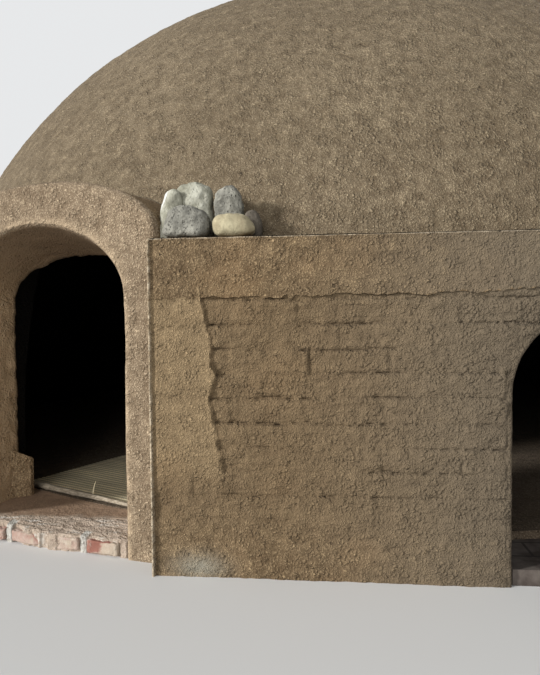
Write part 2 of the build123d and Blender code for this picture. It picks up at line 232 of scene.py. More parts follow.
def piece(name, surfaces, finish, stands_for=(), weld=0.0003, crease=55):
    """One mesh object from grids: their points and masks are joined, welded and shaded smooth up to
    the crease angle. The object stays at the origin and rides on the root."""
    keys = sorted({k for s in surfaces for k in s["masks"]})
    base, points, quads, shade, values = 0, [], [], [], {k: [] for k in keys}
    for s in surfaces:
        n = s["P"].shape[0] * s["P"].shape[1]
        quads.append(quads_of(s) + base)
        points.append(s["P"].reshape(-1, 3))
        shade.append(s.get("shade", np.zeros_like(s["P"])).reshape(-1, 3))
        for k in keys:
            values[k].append(s["masks"][k].reshape(-1) if k in s["masks"] else np.zeros(n))
        base += n
    points, quads = np.concatenate(points), np.concatenate(quads)
    mesh = bpy.data.meshes.new(name)
    mesh.vertices.add(len(points))
    mesh.vertices.foreach_set("co", points.astype(np.float32).ravel())
    mesh.loops.add(quads.size)
    mesh.loops.foreach_set("vertex_index", quads.astype(np.int32).ravel())
    mesh.polygons.add(len(quads))
    mesh.polygons.foreach_set("loop_start", np.arange(0, quads.size, 4, dtype=np.int32))
    mesh.update(calc_edges=True)
    for k in keys:
        layer = mesh.attributes.new(k, "FLOAT", "POINT")
        layer.data.foreach_set("value", np.concatenate(values[k]).astype(np.float32))
    if weld:
        bm = bmesh.new()
        bm.from_mesh(mesh)
        bmesh.ops.remove_doubles(bm, verts=bm.verts, dist=weld)
        bmesh.ops.dissolve_degenerate(bm, edges=bm.edges, dist=weld / 4)
        bm.to_mesh(mesh)
        bm.free()
    mesh.polygons.foreach_set("use_smooth", np.ones(len(mesh.polygons), bool))
    mesh.set_sharp_from_angle(angle=radians(crease))
    if not weld and np.any(np.concatenate(shade)):
        mesh.normals_split_custom_set_from_vertices(np.concatenate(shade))
    mesh.update()
    ob = bpy.data.objects.new(name, mesh)
    bpy.context.scene.collection.objects.link(ob)
    ob.data.materials.append(finish)
    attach(ob, "root")
    if stands_for:
        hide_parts(*stands_for)
    return ob


def with_normals(s, drop=(0, 0)):
    """The surface with its shading directions, the cross product of its slopes along both of its
    parameters, and then without the rows at each end that were only there for the slopes."""
    P, n = s["P"], s["P"].shape[1]
    along = np.roll(P, -1, 0) - np.roll(P, 1, 0) if s["rows"] else np.gradient(P, axis=0)
    shade = unit(np.cross(along, np.gradient(P, axis=1)))
    shade *= np.sign((shade * s["N"]).sum(-1, keepdims=True))
    keep = slice(drop[0], n - drop[1])
    return {**s, "P": P[:, keep], "N": s["N"][:, keep], "shade": shade[:, keep],
            "masks": {k: v[:, keep] for k, v in s["masks"].items()}}


def relieved(s, height):
    """The surface moved along its outward directions by a height function of its places."""
    h = height(s["P"], s) if callable(height) else height
    return {**s, "P": s["P"] + s["N"] * np.asarray(h)[..., None]}


def spread(low, high, pitch):
    """Even places from low to high, about a pitch apart."""
    return np.linspace(low, high, max(2, int(round(abs(high - low) / pitch)) + 1))


def rounded_block(size, exponent, rows, columns):
    """Superellipsoid about the origin: signed powers of a ball's cosines and sines, times half the
    sizes. Returns points and outward directions."""
    a, b = (np.stack([np.cos(q), np.sin(q)]) for q in ball(rows, columns))
    a, b = (np.sign(q) * np.abs(q) ** exponent for q in (a, b))
    share = points(a[0] * b[0], a[0] * b[1], a[1])
    return share * np.asarray(size) / 2, unit(share / np.asarray(size))


# ---------------------------------------------------------------- shader nodes

class Sock:
    """A shader socket or number, on which + - * and the methods below add Math nodes."""

    def __init__(self, mat, link):
        self.mat, self.link = mat, link

    def _op(self, operation, *others):
        return self.mat.node("ShaderNodeMath", {"operation": operation}, (self,) + others)

    def __add__(self, o): return self._op("ADD", o)
    def __radd__(self, o): return self._op("ADD", o)
    def __sub__(self, o): return self._op("SUBTRACT", o)
    def __rsub__(self, o): return Sock(self.mat, o)._op("SUBTRACT", self)
    def __mul__(self, o): return self._op("MULTIPLY", o)
    def __rmul__(self, o): return self._op("MULTIPLY", o)
    def wave(self): return self._op("SINE")._op("ABSOLUTE")

    def ramp(self, low, high):
        """0 at low, 1 at high, smooth between."""
        return self.mat.node("ShaderNodeMapRange", {"interpolation_type": "SMOOTHSTEP"},
                             {"Value": self, "From Min": low, "From Max": high}, "Result")


class Finish:
    """A node material under construction."""

    def __init__(self, name):
        self.material = bpy.data.materials.new(name)
        self.material.use_nodes = True
        self.tree = self.material.node_tree
        self.tree.nodes.clear()
        self.out = self.tree.nodes.new("ShaderNodeOutputMaterial")
        self.where = self.node("ShaderNodeTexCoord", {}, {}, "Object")

    def join(self, value, socket):
        """Give a socket its link or its value."""
        value = value.link if isinstance(value, Sock) else value
        if isinstance(value, bpy.types.NodeSocket):
            self.tree.links.new(value, socket)
        else:
            socket.default_value = value

    def node(self, kind, settings=(), sockets=(), out=0):
        """Add a node: its type, its settings, then values or links for its sockets by name or order."""
        n = self.tree.nodes.new(kind)
        for key, value in dict(settings).items():
            setattr(n, key, value)
        for key, value in (sockets.items() if isinstance(sockets, dict) else enumerate(sockets)):
            self.join(value, n.inputs[key])
        return Sock(self, n.outputs[out])

    def noise(self, size, detail=2.0, roughness=0.5, at=None):
        """Noise from 0 to 1 with features about a size across, in metres."""
        return self.node("ShaderNodeTexNoise", {"noise_dimensions": "3D"},
                         {"Vector": at or self.where, "Scale": 0.5 / size, "Detail": detail,
                          "Roughness": roughness})

    def cells(self, size, at):
        """Distance to scattered points about a size apart, as a share of the size."""
        return self.node("ShaderNodeTexVoronoi", {}, {"Vector": at, "Scale": 1 / size}, "Distance")

    def stretched(self, by, turn=(0, 0, 0), at=None):
        """The place, turned and then scaled, for streaks and grain."""
        return self.node("ShaderNodeMapping", {},
                         {"Vector": at or self.where, "Rotation": turn, "Scale": by})

    def part(self, letter, at=None):
        """One coordinate of the place."""
        return self.node("ShaderNodeSeparateXYZ", {}, [at or self.where], letter)

    def reach(self, way):
        """How far the place lies along a direction."""
        return self.node("ShaderNodeVectorMath", {"operation": "DOT_PRODUCT"}, [self.where, tuple(way)],
                         "Value")

    def wandering(self, size, reach):
        """The place, pushed about by a noise, so that a pattern on it looks less even."""
        n = self.node("ShaderNodeTexNoise", {"noise_dimensions": "3D"},
                      {"Vector": self.where, "Scale": 0.5 / size, "Detail": 2.0}, "Color")
        return self.node("ShaderNodeVectorMath", {"operation": "MULTIPLY_ADD"},
                         [n, (reach,) * 3, self.where])

    def mask(self, name):
        """A mask that the mesh carries."""
        return self.node("ShaderNodeAttribute", {"attribute_name": name}, {}, "Fac")

    def mix(self, factor, first, second):
        """Blend of two colours by a factor."""
        n = self.tree.nodes.new("ShaderNodeMix")
        n.data_type, n.blend_type = "RGBA", "MIX"
        self.join(factor, n.inputs[0])
        for socket, value in ((n.inputs[6], first), (n.inputs[7], second)):
            self.join(value if isinstance(value, Sock) else (*tuple(value)[:3], 1.0), socket)
        return Sock(self, n.outputs[2])

    def coats(self, base, *rows, of=(1.0, 1.0, 1.0)):
        """Coats over a base, one after another: each row is a factor and how many times each channel
        of a colour it brings."""
        for factor, by in rows:
            base = self.mix(factor, base, tint(of, by))
        return base

    def shade(self, colour, roughness, height):
        """Close the material: colour, roughness and a height in metres that bumps the normal."""
        bump = self.node("ShaderNodeBump", {}, {"Strength": 1.0, "Distance": 1.0, "Height": height})
        bsdf = self.node("ShaderNodeBsdfPrincipled", {},
                         {"Base Color": colour, "Roughness": roughness, "Normal": bump,
                          "Specular IOR Level": 0.25}, "BSDF")
        self.tree.links.new(bsdf.link, self.out.inputs["Surface"])
        return self.material


def tint(colour, by):
    """A colour with each channel times a number or three."""
    by = (by,) * 3 if isinstance(by, (int, float)) else by
    return tuple(c * b for c, b in zip(tuple(colour)[:3], by))


def plaster_finish(name, colour, grain=1.0, streak=0.5, speck=1.0,
                   drawn=((1.0, 1.0, 0.25), (0.3, 0.66, 0.2))):
    """Sandy mud plaster: cloudy tints, crumbs and grit that stand out of it, lumps, drawn trowel marks and
    a few pits.
    The gaps between crumbs and grains and the pits are darker as painted shade, and their tops paler as
    painted highlight mixed with pale sand and dust."""
    m = Finish(name)
    broad = m.noise(0.45, 3, 0.5)
    patch = m.noise(0.12, 5, 0.62)
    body = m.noise(0.024, 7, 0.68)
    rub = m.noise(0.018, 5, 0.65, at=m.stretched(*drawn))
    sand = m.noise(0.0040, 3, 0.75)
    about = m.wandering(0.012, 0.020)
    crumb, grit, stray, pit = (m.cells(size, about).ramp(rim, core) for size, rim, core in (
        (0.0150, 0.60, 0.05), (0.0075, 0.60, 0.05), (0.036, 0.18, 0.05), (0.060, 0.11, 0.04)))
    many = m.noise(0.035, 4, 0.6).ramp(0.42, 0.60)
    base = m.mix(broad.ramp(0.35, 0.65), tint(colour, (0.86, 0.84, 0.81)),
                 tint(colour, (1.10, 1.09, 1.07)))
    # Painted shade and highlight: the body, crumb, grit, sand, stray and pit coats darken the hollows and
    # pale the tops, partly as pale dust and sand
    base = m.coats(
        base,
        (patch.ramp(0.47, 0.70) * 0.32, (1.28, 1.27, 1.25)),
        (patch.ramp(0.48, 0.30) * 0.24, (0.68, 0.64, 0.59)),
        (rub.ramp(0.50, 0.34) * (0.9 * streak), (0.56, 0.52, 0.47)),
        (rub.ramp(0.52, 0.68) * (0.6 * streak), (1.40, 1.40, 1.40)),
        (body.ramp(0.49, 0.36) * (0.62 * speck), (0.34, 0.30, 0.26)),
        (body.ramp(0.53, 0.66) * (0.75 * speck), (1.65, 1.64, 1.60)),
        (crumb.ramp(0.42, 0.0) * many * (0.42 * speck), (0.36, 0.32, 0.27)),
        (crumb.ramp(0.62, 1.0) * many * (0.55 * speck), (1.70, 1.68, 1.62)),
        (grit.ramp(0.40, 0.0) * (0.70 * speck), (0.38, 0.34, 0.30)),
        (grit.ramp(0.60, 1.0) * (0.55 * speck), (1.75, 1.73, 1.69)),
        (sand.ramp(0.55, 0.72) * (0.50 * speck), (1.55, 1.56, 1.58)),
        (stray * (0.6 * speck), (1.90, 1.88, 1.84)),
        (pit * (0.8 * speck), (0.22, 0.19, 0.16)),
        of=colour)
    height = crumb * many * (0.0090 * grain)
    for layer, high in ((grit, 0.0042 * grain), (body, 0.019 * grain), (sand, 0.0020 * grain),
                        (rub, 0.014 * streak), (patch, 0.016 * grain), (stray, 0.0045 * grain)):
        height = height + layer * high
    return m, base, height - pit * (0.0060 * grain)


# ---------------------------------------------------------------- the dome

def dome_place(s, inset=0.0):
    """Radius and height on the dome's profile at a length s from the top of its upright foot: a line,
    then the flank's arc, then the crown's, each set in by an inset. Also the wall's lean."""
    flank, crown = FLANK_R - inset, CROWN_R - inset
    turn = np.maximum(s, 0) / flank
    over = FLANK_ARC + (np.maximum(s, 0) - flank * FLANK_ARC) / crown
    lean = np.minimum(np.where(turn < FLANK_ARC, turn, over), pi / 2)
    r = np.where(turn < FLANK_ARC, FLANK_C + flank * np.cos(lean), crown * np.cos(lean))
    z = np.where(turn < FLANK_ARC, FOOT + flank * np.sin(lean), CROWN_C + crown * np.sin(lean))
    return np.where(s < 0, DOME_R - inset, r), np.where(s < 0, FOOT + s, z), lean


def dome_length(z, inset=0.0):
    """The length s at which the profile reaches a height."""
    flank, crown = FLANK_R - inset, CROWN_R - inset
    knee = FOOT + flank * sin(FLANK_ARC)
    low = flank * np.arcsin(np.clip((z - FOOT) / flank, 0, 1))
    high = flank * FLANK_ARC + crown * (np.arcsin(np.clip((z - CROWN_C) / crown, 0, 1)) - FLANK_ARC)
    return np.where(z < FOOT, z - FOOT, np.where(z < knee, low, high))


def both_lengths(z):
    """The lengths along the outer and the inner profile at a height."""
    return [dome_length(z, inset) for inset in (0.0, WALL)]


def dome_radius_at(z, inset=0.0):
    """Radius of the dome's face at a height."""
    return dome_place(dome_length(z, inset), inset)[0]


def dome_relief(P, s=None):
    """Hollows worked into the dome's plaster: broad sags, palm-sized trowel facets drawn on a slant,
    lumps and crumbs. All of it goes inward from the true dome."""
    c, t = cos(radians(35)), sin(radians(35))
    slant = points(P[..., 0] * c + P[..., 2] * t, P[..., 1], (P[..., 2] * c - P[..., 0] * t) * 0.35)
    sag, facet = even(P, 0.85, 1, 3), even(slant, 0.16, 3, 11)
    lump, crumb = even(P, 0.055, 2, 29), even(P, 0.026, 2, 31)
    return -0.0005 - 0.0080 * sag - 0.0060 * facet - 0.0045 * lump - 0.0060 * crumb


def ring_angles():
    """Angles once round the dome, close together at the front and wider apart behind."""
    start = radians(-172)
    fine = spread(start, BACK_FROM, FRONT_PITCH)
    return np.concatenate([fine, spread(BACK_FROM, start + 2 * pi, BACK_PITCH)[1:]])


def turned(r, z, lean, a, way):
    """Points at a radius and height, turned round the axis by an angle, and their directions, which
    lean up from level, outward or (way -1) inward."""
    N = points(np.cos(lean) * np.cos(a), np.cos(lean) * np.sin(a), np.sin(lean)) * way
    return points(r * np.cos(a), r * np.sin(a), z), N


def wall_faces(angle_of, low, high, rows, count, closed):
    """The wall's outside and inside between two heights given as lengths along the outer and the
    inner profile. The outside carries one row more at each end while its shading is worked out."""
    out = []
    for k, (inset, n, way, ghost) in enumerate(((0.0, rows, 1, 1), (WALL, INNER_ROWS, -1, 0))):
        t = np.arange(-ghost, n + ghost) / (n - 1)
        s = np.asarray(low[k])[..., None] * (1 - t) + np.asarray(high[k])[..., None] * t
        r, z, lean = dome_place(np.broadcast_to(s, (count, len(t))), inset)
        P, N = turned(r, z, lean, angle_of(r, z, inset), way)
        # the inside carries the mask that the finish paints black as shade
        face = surface(P, N, loop_rows=closed, inside=1.0 if inset else 0.0)
        if way > 0:
            out.append(with_normals(relieved(face, dome_relief), (1, 1)))
        else:
            out.append(relieved(face, lambda P, s: 0.004 + 0.006 * rough(P, 0.3, 2, 5)))
    for end, up in ((0, -1), (-1, 1)):
        edge = np.stack([face["P"][:, end] for face in out[:2]], 1)
        out.append(surface(edge, up * UP, loop_rows=closed))
    return out


def side_cap(surfaces, end, out):
    """The flat end of a band that stops at an opening."""
    outer, inner = surfaces[0]["P"][end], surfaces[1]["P"][end]
    t, own = np.linspace(0, 1, len(outer)), np.linspace(0, 1, len(inner))
    low = np.stack([np.interp(t, own, inner[:, c]) for c in range(3)], -1)
    # the cap carries the mask that the finish paints black as shade
    return surface(np.stack([outer, low], 1), out, inside=1.0)


def door_way(u, v, z):
    """A direction of the doorway's own frame: along the porch face, into the passage, up."""
    u, v, z = np.broadcast_arrays(u, v, z)
    return u[..., None] * DOOR_ALONG + v[..., None] * DOOR_IN + z[..., None] * UP


def door_place(u, v, z):
    """A point of the doorway's own frame."""
    return DOOR_ORIGIN + door_way(u, v, z)


def door_depth(u, z, inset):
    """How far into the passage the dome's face lies at a reach and height."""
    r = dome_radius_at(z, inset)
    along, into = DOOR_ORIGIN @ DOOR_ALONG, DOOR_ORIGIN @ DOOR_IN
    return -into - np.sqrt(np.maximum(r ** 2 - (u + along) ** 2, 0))


def porch_line(u):
    """Height of the hood's outside over a reach: its half-ellipse, or the springing beside it."""
    q = np.clip(np.abs(u - PORCH_SHIFT) / PORCH_HALF, 0, 1)
    return PORCH_SPRING + PORCH_RISE * np.sqrt(1 - q * q)


def plane_angle(point, way, r, near):
    """Angle at which a circle of radius r about the axis meets an upright plane, near an angle."""
    across = np.array([-way[1], way[0]])
    base = atan2(across[1], across[0])
    turn = np.arccos(np.clip(point[..., :2] @ across / r, -1, 1))
    first, second = ((base + side * turn - near + pi) % (2 * pi) - pi + near for side in (1, -1))
    return np.where(np.abs(first - near) < np.abs(second - near), first, second)


# ---------------------------------------------------------------- user settings

class TemazcalPlaster(bpy.types.PropertyGroup):
    dome_colour: FloatVectorProperty(name="Dome plaster", description="Colour of the dome's plaster",
                                     subtype="COLOR", size=3, default=(0.250, 0.197, 0.128), min=0, max=1)
    porch_colour: FloatVectorProperty(name="Porch plaster", description="Colour of the doorway's plaster",
                                      subtype="COLOR", size=3, default=(0.352, 0.272, 0.184), min=0, max=1)
    bench_colour: FloatVectorProperty(name="Bench plaster", description="Colour of the bench's plaster",
                                      subtype="COLOR", size=3, default=(0.250, 0.178, 0.100), min=0, max=1)
    sill_colour: FloatVectorProperty(name="Sill plaster", description="Colour of the worn sill",
                                     subtype="COLOR", size=3, default=(0.320, 0.218, 0.145), min=0, max=1)
    grain: FloatProperty(name="Grain", description="Height of the sand grains, as a share of the usual",
                         default=1.0, min=0, max=3)


class TemazcalBench(bpy.types.PropertyGroup):
    course: FloatProperty(name="Course pitch", description="Height of a brick course with its joint",
                          default=0.0925, min=0.05, max=0.2, unit="LENGTH")
    brick: FloatProperty(name="Brick length", description="Length of a brick with its joint",
                         default=0.295, min=0.1, max=0.5, unit="LENGTH")
    mesh_pitch: FloatProperty(name="Mesh pitch", description="Distance between the face's points",
                              default=0.0065, min=0.004, max=0.03, unit="LENGTH")


class TemazcalMat(bpy.types.PropertyGroup):
    strip: FloatProperty(name="Strip width", description="Width of a woven palm strip",
                         default=0.030, min=0.005, max=0.05, unit="LENGTH")
    colour: FloatVectorProperty(name="Palm", description="Colour of the palm strips",
                                subtype="COLOR", size=3, default=(0.780, 0.670, 0.440), min=0, max=1)


# ---------------------------------------------------------------- operators

class OBJECT_OT_temazcal_dome(bpy.types.Operator):
    """Build the dome's four rings of plastered wall"""
    bl_idname = "object.temazcal_dome"
    bl_label = "Dome"

    def execute(self, context):
        finish = self.finish(context.scene.temazcal_plaster)
        angles = ring_angles()
        self.lower_ring(angles, finish)
        self.upper_rings(angles[:-1], finish)
        self.crown(finish)
        return {"FINISHED"}

    def finish(self, look):
        """Plaster with painted shade: black inside, and a dark painted shadow line along the hood's outline
        where the hood meets the dome.
        """
        m, base, height = plaster_finish("dome_plaster", look.dome_colour, grain=look.grain, streak=0.6)
        # Painted shade: the wall's inside black
        base = m.coats(base, (m.mask("inside") * 1.0, SHADE_BLACK))
        # Painted shadow: a dark line round the hood's outline on the dome, in front
        q = (m.reach(DOOR_ALONG) - (float(DOOR_ORIGIN @ DOOR_ALONG) + PORCH_SHIFT)) * (1 / PORCH_HALF)
        w = (m.part("Z") - PORCH_SPRING) * (1 / PORCH_RISE)
        ring = q * q + w * w + m.noise(0.02, 3, 0.6) * 0.03
        seam = (ring.ramp(0.97, 0.99) * ring.ramp(1.09, 1.03) * w.ramp(-0.2, 0.1)
                * m.reach(DOOR_IN).ramp(-1.5, -2.0))
        base = m.coats(base, (seam * 0.75, 0.25), of=look.dome_colour)
        return m.shade(base, DRY, height)

    def lower_ring(self, angles, finish):
        """Three bands: the porch to the firebox's way, over it, and round to the porch."""
        flank = DOOR_ORIGIN + DOOR_ALONG * (PORCH_SHIFT + (PORCH_HALF - LAP))
        at_door = atan2(DOOR_ORIGIN[1], DOOR_ORIGIN[0])
        inward, near_mouth = np.array([0.0, 1.0]), {-1: -pi / 2 + 0.14, 1: -pi / 2 + 0.33}

        def at_mouth(side, r):
            return plane_angle(np.array([MOUTH_X + side * MOUTH_R, 0]), inward, r, near_mouth[side])

        def to_porch(r, z, inset):
            """The left flank's plane outside, and inside the line where the reveal's flare ends."""
            reach = PORCH_HALF - PORCH_SHIFT
            if inset:
                g = np.zeros_like(z)
                for _ in range(20):
                    high = np.clip((z - THROAT_SPRING) / (THROAT_RISE + g), 0, 1)
                    u = (DOOR_HALF + g) * np.sqrt(1 - high ** 2)
                    g = 0.5 * g + 0.5 * np.maximum(door_depth(-u, z, WALL) - THROAT, 0) * SPLAY
                reach = np.maximum(reach, u)
            point = DOOR_ORIGIN - DOOR_ALONG * np.asarray(reach)[..., None]
            return plane_angle(point, DOOR_IN, r, at_door - 0.15) + 2 * pi

        def band(angle_of, low, high, rows, count, first, last):
            faces = wall_faces(angle_of, low, high, rows, count, False)
            return faces + [side_cap(faces, 0, first), side_cap(faces, -1, last)]

        def between(first, last, share, *ways):
            """A band between two upright edges, each an angle that depends on radius and height."""
            k = share[:, None]
            return band(lambda r, z, i: first(r, z, i) * (1 - k) + last(r, z, i) * k,
                        both_lengths(0.0), both_lengths(RING_1), LOWER_ROWS, len(share), *ways)

        before = between(lambda r, z, i: plane_angle(flank, DOOR_IN, r, at_door + 0.15),
                         lambda r, z, i: at_mouth(-1, r), np.linspace(0, 1, 60), -DOOR_ALONG, (1, 0, 0))
        start, end = float(at_mouth(1, DOME_R)), float(to_porch(np.array(DOME_R), np.array(0.0), 0.0))
        knee = angles[0] + 2 * pi
        share = (np.concatenate([spread(start, BACK_FROM, EDGE_PITCH)[:-1],
                                 spread(BACK_FROM, knee, BACK_PITCH)[:-1],
                                 spread(knee, end, EDGE_PITCH)]) - start) / (end - start)
        after = between(lambda r, z, i: at_mouth(1, r), to_porch, share, (-1, 0, 0), DOOR_ALONG)
        x = np.linspace(MOUTH_X - MOUTH_R, MOUTH_X + MOUTH_R, 41)
        arch = MOUTH_SPRING + np.sqrt(np.maximum(MOUTH_R ** 2 - (x - MOUTH_X) ** 2, 0))
        over = band(lambda r, z, i: -np.arccos(np.clip(x[:, None] / r, -1, 1)),
                    both_lengths(arch), both_lengths(RING_1), OVER_ROWS, len(x), (-1, 0, 0), (1, 0, 0))
        piece("dome_lower_plaster", before + after + over, finish,
              [f"wall_segment_{k}" for k in range(1, 8)], weld=0)

    def upper_rings(self, angles, finish):
        """The shoulder, whose lower edge rides up over the hood, and the ring above it."""
        edges = []
        for inset in (0.0, WALL):
            z = np.full(len(angles), RING_1)
            for _ in range(6):
                r = dome_radius_at(z, inset)
                at = np.stack([r * np.cos(angles), r * np.sin(angles)], -1) - DOOR_ORIGIN[:2]
                u, v = at @ DOOR_ALONG[:2], at @ DOOR_IN[:2]
                z = np.maximum(np.where(v < 1.5, porch_line(u) - LAP, RING_1), RING_1)
            edges.append(dome_length(z, inset))
        for name, low, high, count in (("shoulder", edges, RING_2, 7),
                                       ("upper", both_lengths(RING_2), RING_3, 5)):
            faces = wall_faces(lambda r, z, i: angles[:, None], low, both_lengths(high), RING_ROWS,
                               len(angles), True)
            piece(f"dome_{name}_plaster", faces, finish,
                  [f"{name}_segment_{k}" for k in range(1, count + 1)], weld=0)

    def crown(self, finish):
        """Rings that close on a point, on each face, with one shared edge."""
        a = np.linspace(0, 2 * pi, 260, endpoint=False)[:, None]
        crown = []
        for inset, n, way in ((0.0, 72, 1), (WALL, 10, -1)):
            low = float(dome_length(RING_3, inset))
            top = (FLANK_R - inset) * FLANK_ARC + (CROWN_R - inset) * (pi / 2 - FLANK_ARC)
            k = np.arange(-1 if way > 0 else 0, n) / (n - 1)
            r, z, lean = dome_place((low * (1 - k) + top * k)[None, :], inset)
            P, N = turned(r, z, lean, a, way)
            # the inside carries the mask that the finish paints black as shade
            face = relieved(surface(P, N, loop_rows=True, inside=1.0 if inset else 0.0),
                            dome_relief if way > 0 else 0.004)
            if way > 0:
                face = with_normals(face, (1, 0))
                face["shade"] = face["shade"].copy()
                face["shade"][:, -2:] = UP
            crown.append(face)
        crown.append(surface(np.stack([face["P"][:, 0] for face in crown], 1), -UP, loop_rows=True))
        piece("dome_crown_plaster", crown, finish, ["crown_cap"], weld=0)


def door_path(n_side=70, n_arch=90):
    """Running places along the doorway, up the left side, over the arch and down the right: a share
    of the upright's height, and the arch's angle from the right."""
    up = np.linspace(0, 1, n_side)
    share = np.concatenate([up, np.ones(n_arch - 2), up[::-1]])
    angle = np.concatenate([np.full(n_side, pi), np.linspace(pi, 0, n_arch)[1:-1], np.zeros(n_side)])
    return share[:, None], angle[:, None]


def arch_points(half, spring, rise, centre, path):
    """Reach and height of an arched outline: uprights to the springing, then a half-ellipse."""
    share, angle = path
    return centre + half * np.cos(angle), share * spring + rise * np.sin(angle)


class OBJECT_OT_temazcal_doorway(bpy.types.Operator):
    """Build the hooded doorway with its flared reveal"""
    bl_idname = "object.temazcal_doorway"
    bl_label = "Doorway"

    def execute(self, context):
        path = share, angle = door_path()
        lip, edge, behind = 0.020, 0.040, 0.02

        def passage(v):
            """Outline of the way through at depth v: throat to its end, then flared."""
            t, g = np.clip(v / THROAT, 0, 1), np.maximum(v - THROAT, 0) * SPLAY
            return arch_points(DOOR_HALF + g, DOOR_SPRING + (THROAT_SPRING - DOOR_SPRING) * t,
                               DOOR_RISE + (THROAT_RISE - DOOR_RISE) * t + g, 0, path)

        end = np.full((len(share), 1), THROAT)
        for _ in range(40):
            u, z = passage(end)
            end = 0.5 * end + 0.5 * door_depth(u, z, WALL)
        turn = np.minimum(end * 0.97, THROAT)
        v = np.concatenate([lip + (turn - lip) * shares(34), turn + (end - turn) * shares(10, 1)], 1)
        u, z = passage(v)
        ou, oz = np.cos(angle), np.where(share < 1, 0, np.sin(angle))

        # Strips of depth, reach, height and outward direction: the passage, the lip's quarter round,
        # the face, the outer rounding, and the flank, which flares a little where it meets the wall
        strips = [(v[:, ::-1], u[:, ::-1], z[:, ::-1], -ou, 0, -oz)]
        u0, z0 = arch_points(DOOR_HALF, DOOR_SPRING, DOOR_RISE, 0, path)
        c, s = quarter(6, 1)
        grow = lip * (1 - c)
        strips.append((lip * (1 - s), u0 + ou * grow, z0 + oz * grow, -ou * c, -s, -oz * c))
        u1, z1 = arch_points(PORCH_HALF - edge, PORCH_SPRING, PORCH_RISE - edge, PORCH_SHIFT, path)
        t = shares(13, 1)
        strips.append((0, (u0 + ou * lip) * (1 - t) + u1 * t, (z0 + oz * lip) * (1 - t) + z1 * t,
                       0, -1, 0))
        c, s = quarter(10, 1)
        strips.append((edge * (1 - c), u1 + ou * edge * s, z1 + oz * edge * s, ou * s, -c, oz * s))
        u2, z2 = u1 + ou * edge, z1 + oz * edge
        back = door_depth(u2, z2, 0.0) + behind
        run = edge + (back - edge) * shares(30, 1)
        flare = 0.003 * np.exp(-np.maximum(back - behind - run, 0) / 0.018)
        strips.append((run, u2 + ou * flare, z2 + oz * flare, ou, 0, oz))
        V, U, Z, NU, NV, NZ = (np.concatenate(part, 1) for part in
                               zip(*(np.broadcast_arrays(*strip) for strip in strips)))
        P, N = door_place(U, V, Z), unit(door_way(NU, NV, NZ))
        column = np.arange(V.shape[1])[None, :]
        inner = column < v.shape[1]
        ragged = inner * step(V, 0.25, 0.36)

        def relief(P, s):
            """Hand-smoothed plaster: broad waves, small lumps, and a ragged edge at the inner end."""
            return (0.003 * lumps(P, 0.30, 41) + 0.003 * rough(P, 0.07, 4, 43, 0.6) - 0.004
                    + ragged * 0.015 * rough(P, 0.045, 4, 47))

        # Painted shade: black past the throat's end, in all that lies in the room and at the flank's end at
        # the wall; a painted shadow line along the hood's top outline
        indoors = 1 - step(np.hypot(P[..., 0], P[..., 1]) - dome_radius_at(P[..., 2], WALL), 0.0, 0.02)
        seam = ((1 - inner) * step(V, 0.014, 0.026) * (0.35 + 0.65 * (U < 0.05)) * step(Z, 1.2, 1.4)
                * step(rough(P, 0.03, 2, 48), -0.7, 0.1) * (U < 0.35))
        black = np.maximum(inner * step(V, 0.345, 0.385), indoors)
        # Masks: painted light over the passage, painted shade on its soffit and on the hood's right flank,
        # the paler lip, the painted shadow line and the black painted shade
        shell = relieved(surface(
            P, N, seam=seam, deep=inner * step(V, 0.0, 0.06),
            lip=bell((column, v.shape[1] + 3, 2.0)) * step(rough(P, 0.03, 3, 49), -0.6, 0.2),
            crown=inner * np.maximum(np.sin(angle), 0) * (share >= 1) * step(V, 0.0, 0.05),
            flank=(1 - inner) * step(V, 0.020, 0.045) * (U > 0.2),
            inside=np.maximum(black, (1 - inner) * step(V, back - 0.012, back - 0.004))), relief)
        corner = door_place(u2[:, 0], door_depth(u2, z2, WALL)[:, 0], z2[:, 0])
        # the rear, painted black as shade
        rear = surface(np.stack([shell["P"][:, 0], corner, shell["P"][:, -1]], 1), DOOR_IN, inside=1.0)
        look = context.scene.temazcal_plaster
        m, base, height = plaster_finish("door_plaster", look.porch_colour, grain=0.8 * look.grain,
                                         streak=0.5)
        # Painted light over the passage; painted shade on its soffit, on the hood's right flank and as a
        # dark line along the hood's top; the lip paler
        base = m.coats(base, (m.mask("deep") * 0.8, (1.55, 1.42, 1.25)),
                       (m.mask("crown") * 0.74, (0.20, 0.145, 0.11)),
                       (m.mask("lip") * 0.5, (1.60, 1.56, 1.50)),
                       (m.mask("flank") * 0.6, (0.66, 0.55, 0.38)),
                       (m.mask("seam") * 0.8, (0.22, 0.19, 0.15)), of=look.porch_colour)
        # Painted shade: black where the passage runs into the room, at the flank's end and on the rear
        base = m.coats(base, (m.mask("inside") * 1.0, SHADE_BLACK))
        piece("doorway_plaster", [shell, rear], m.shade(base, DRY, height),
              ["door_left_pier", "door_right_pier", "door_arch"])
        return {"FINISHED"}


# Right edge of the smooth patch: heights, and how far from the bench's left end it lies at each
PATCH_Z = (0.0, 0.408, 0.545, 0.605, 0.685, 0.745, 0.783, 0.809, 0.897, 0.982, 1.046, 1.3)
PATCH_X = (0.330, 0.288, 0.265, 0.254, 0.238, 0.254, 0.270, 0.250, 0.245, 0.227, 0.209, 0.2)


def patch_edge(P):
    """How far a place lies left of the smooth patch's ragged right edge."""
    return (np.interp(P[..., 2], PATCH_Z, PATCH_X) + 0.012 * rough(P, 0.034, 4, 65, 0.75)
            - (P[..., 0] - BENCH_X0))


def frayed_end(P):
    """How far a place lies from the bench's left end, give or take some crumbling."""
    return P[..., 0] - BENCH_X0 + 0.004 * rough(P, 0.03, 3, 75)


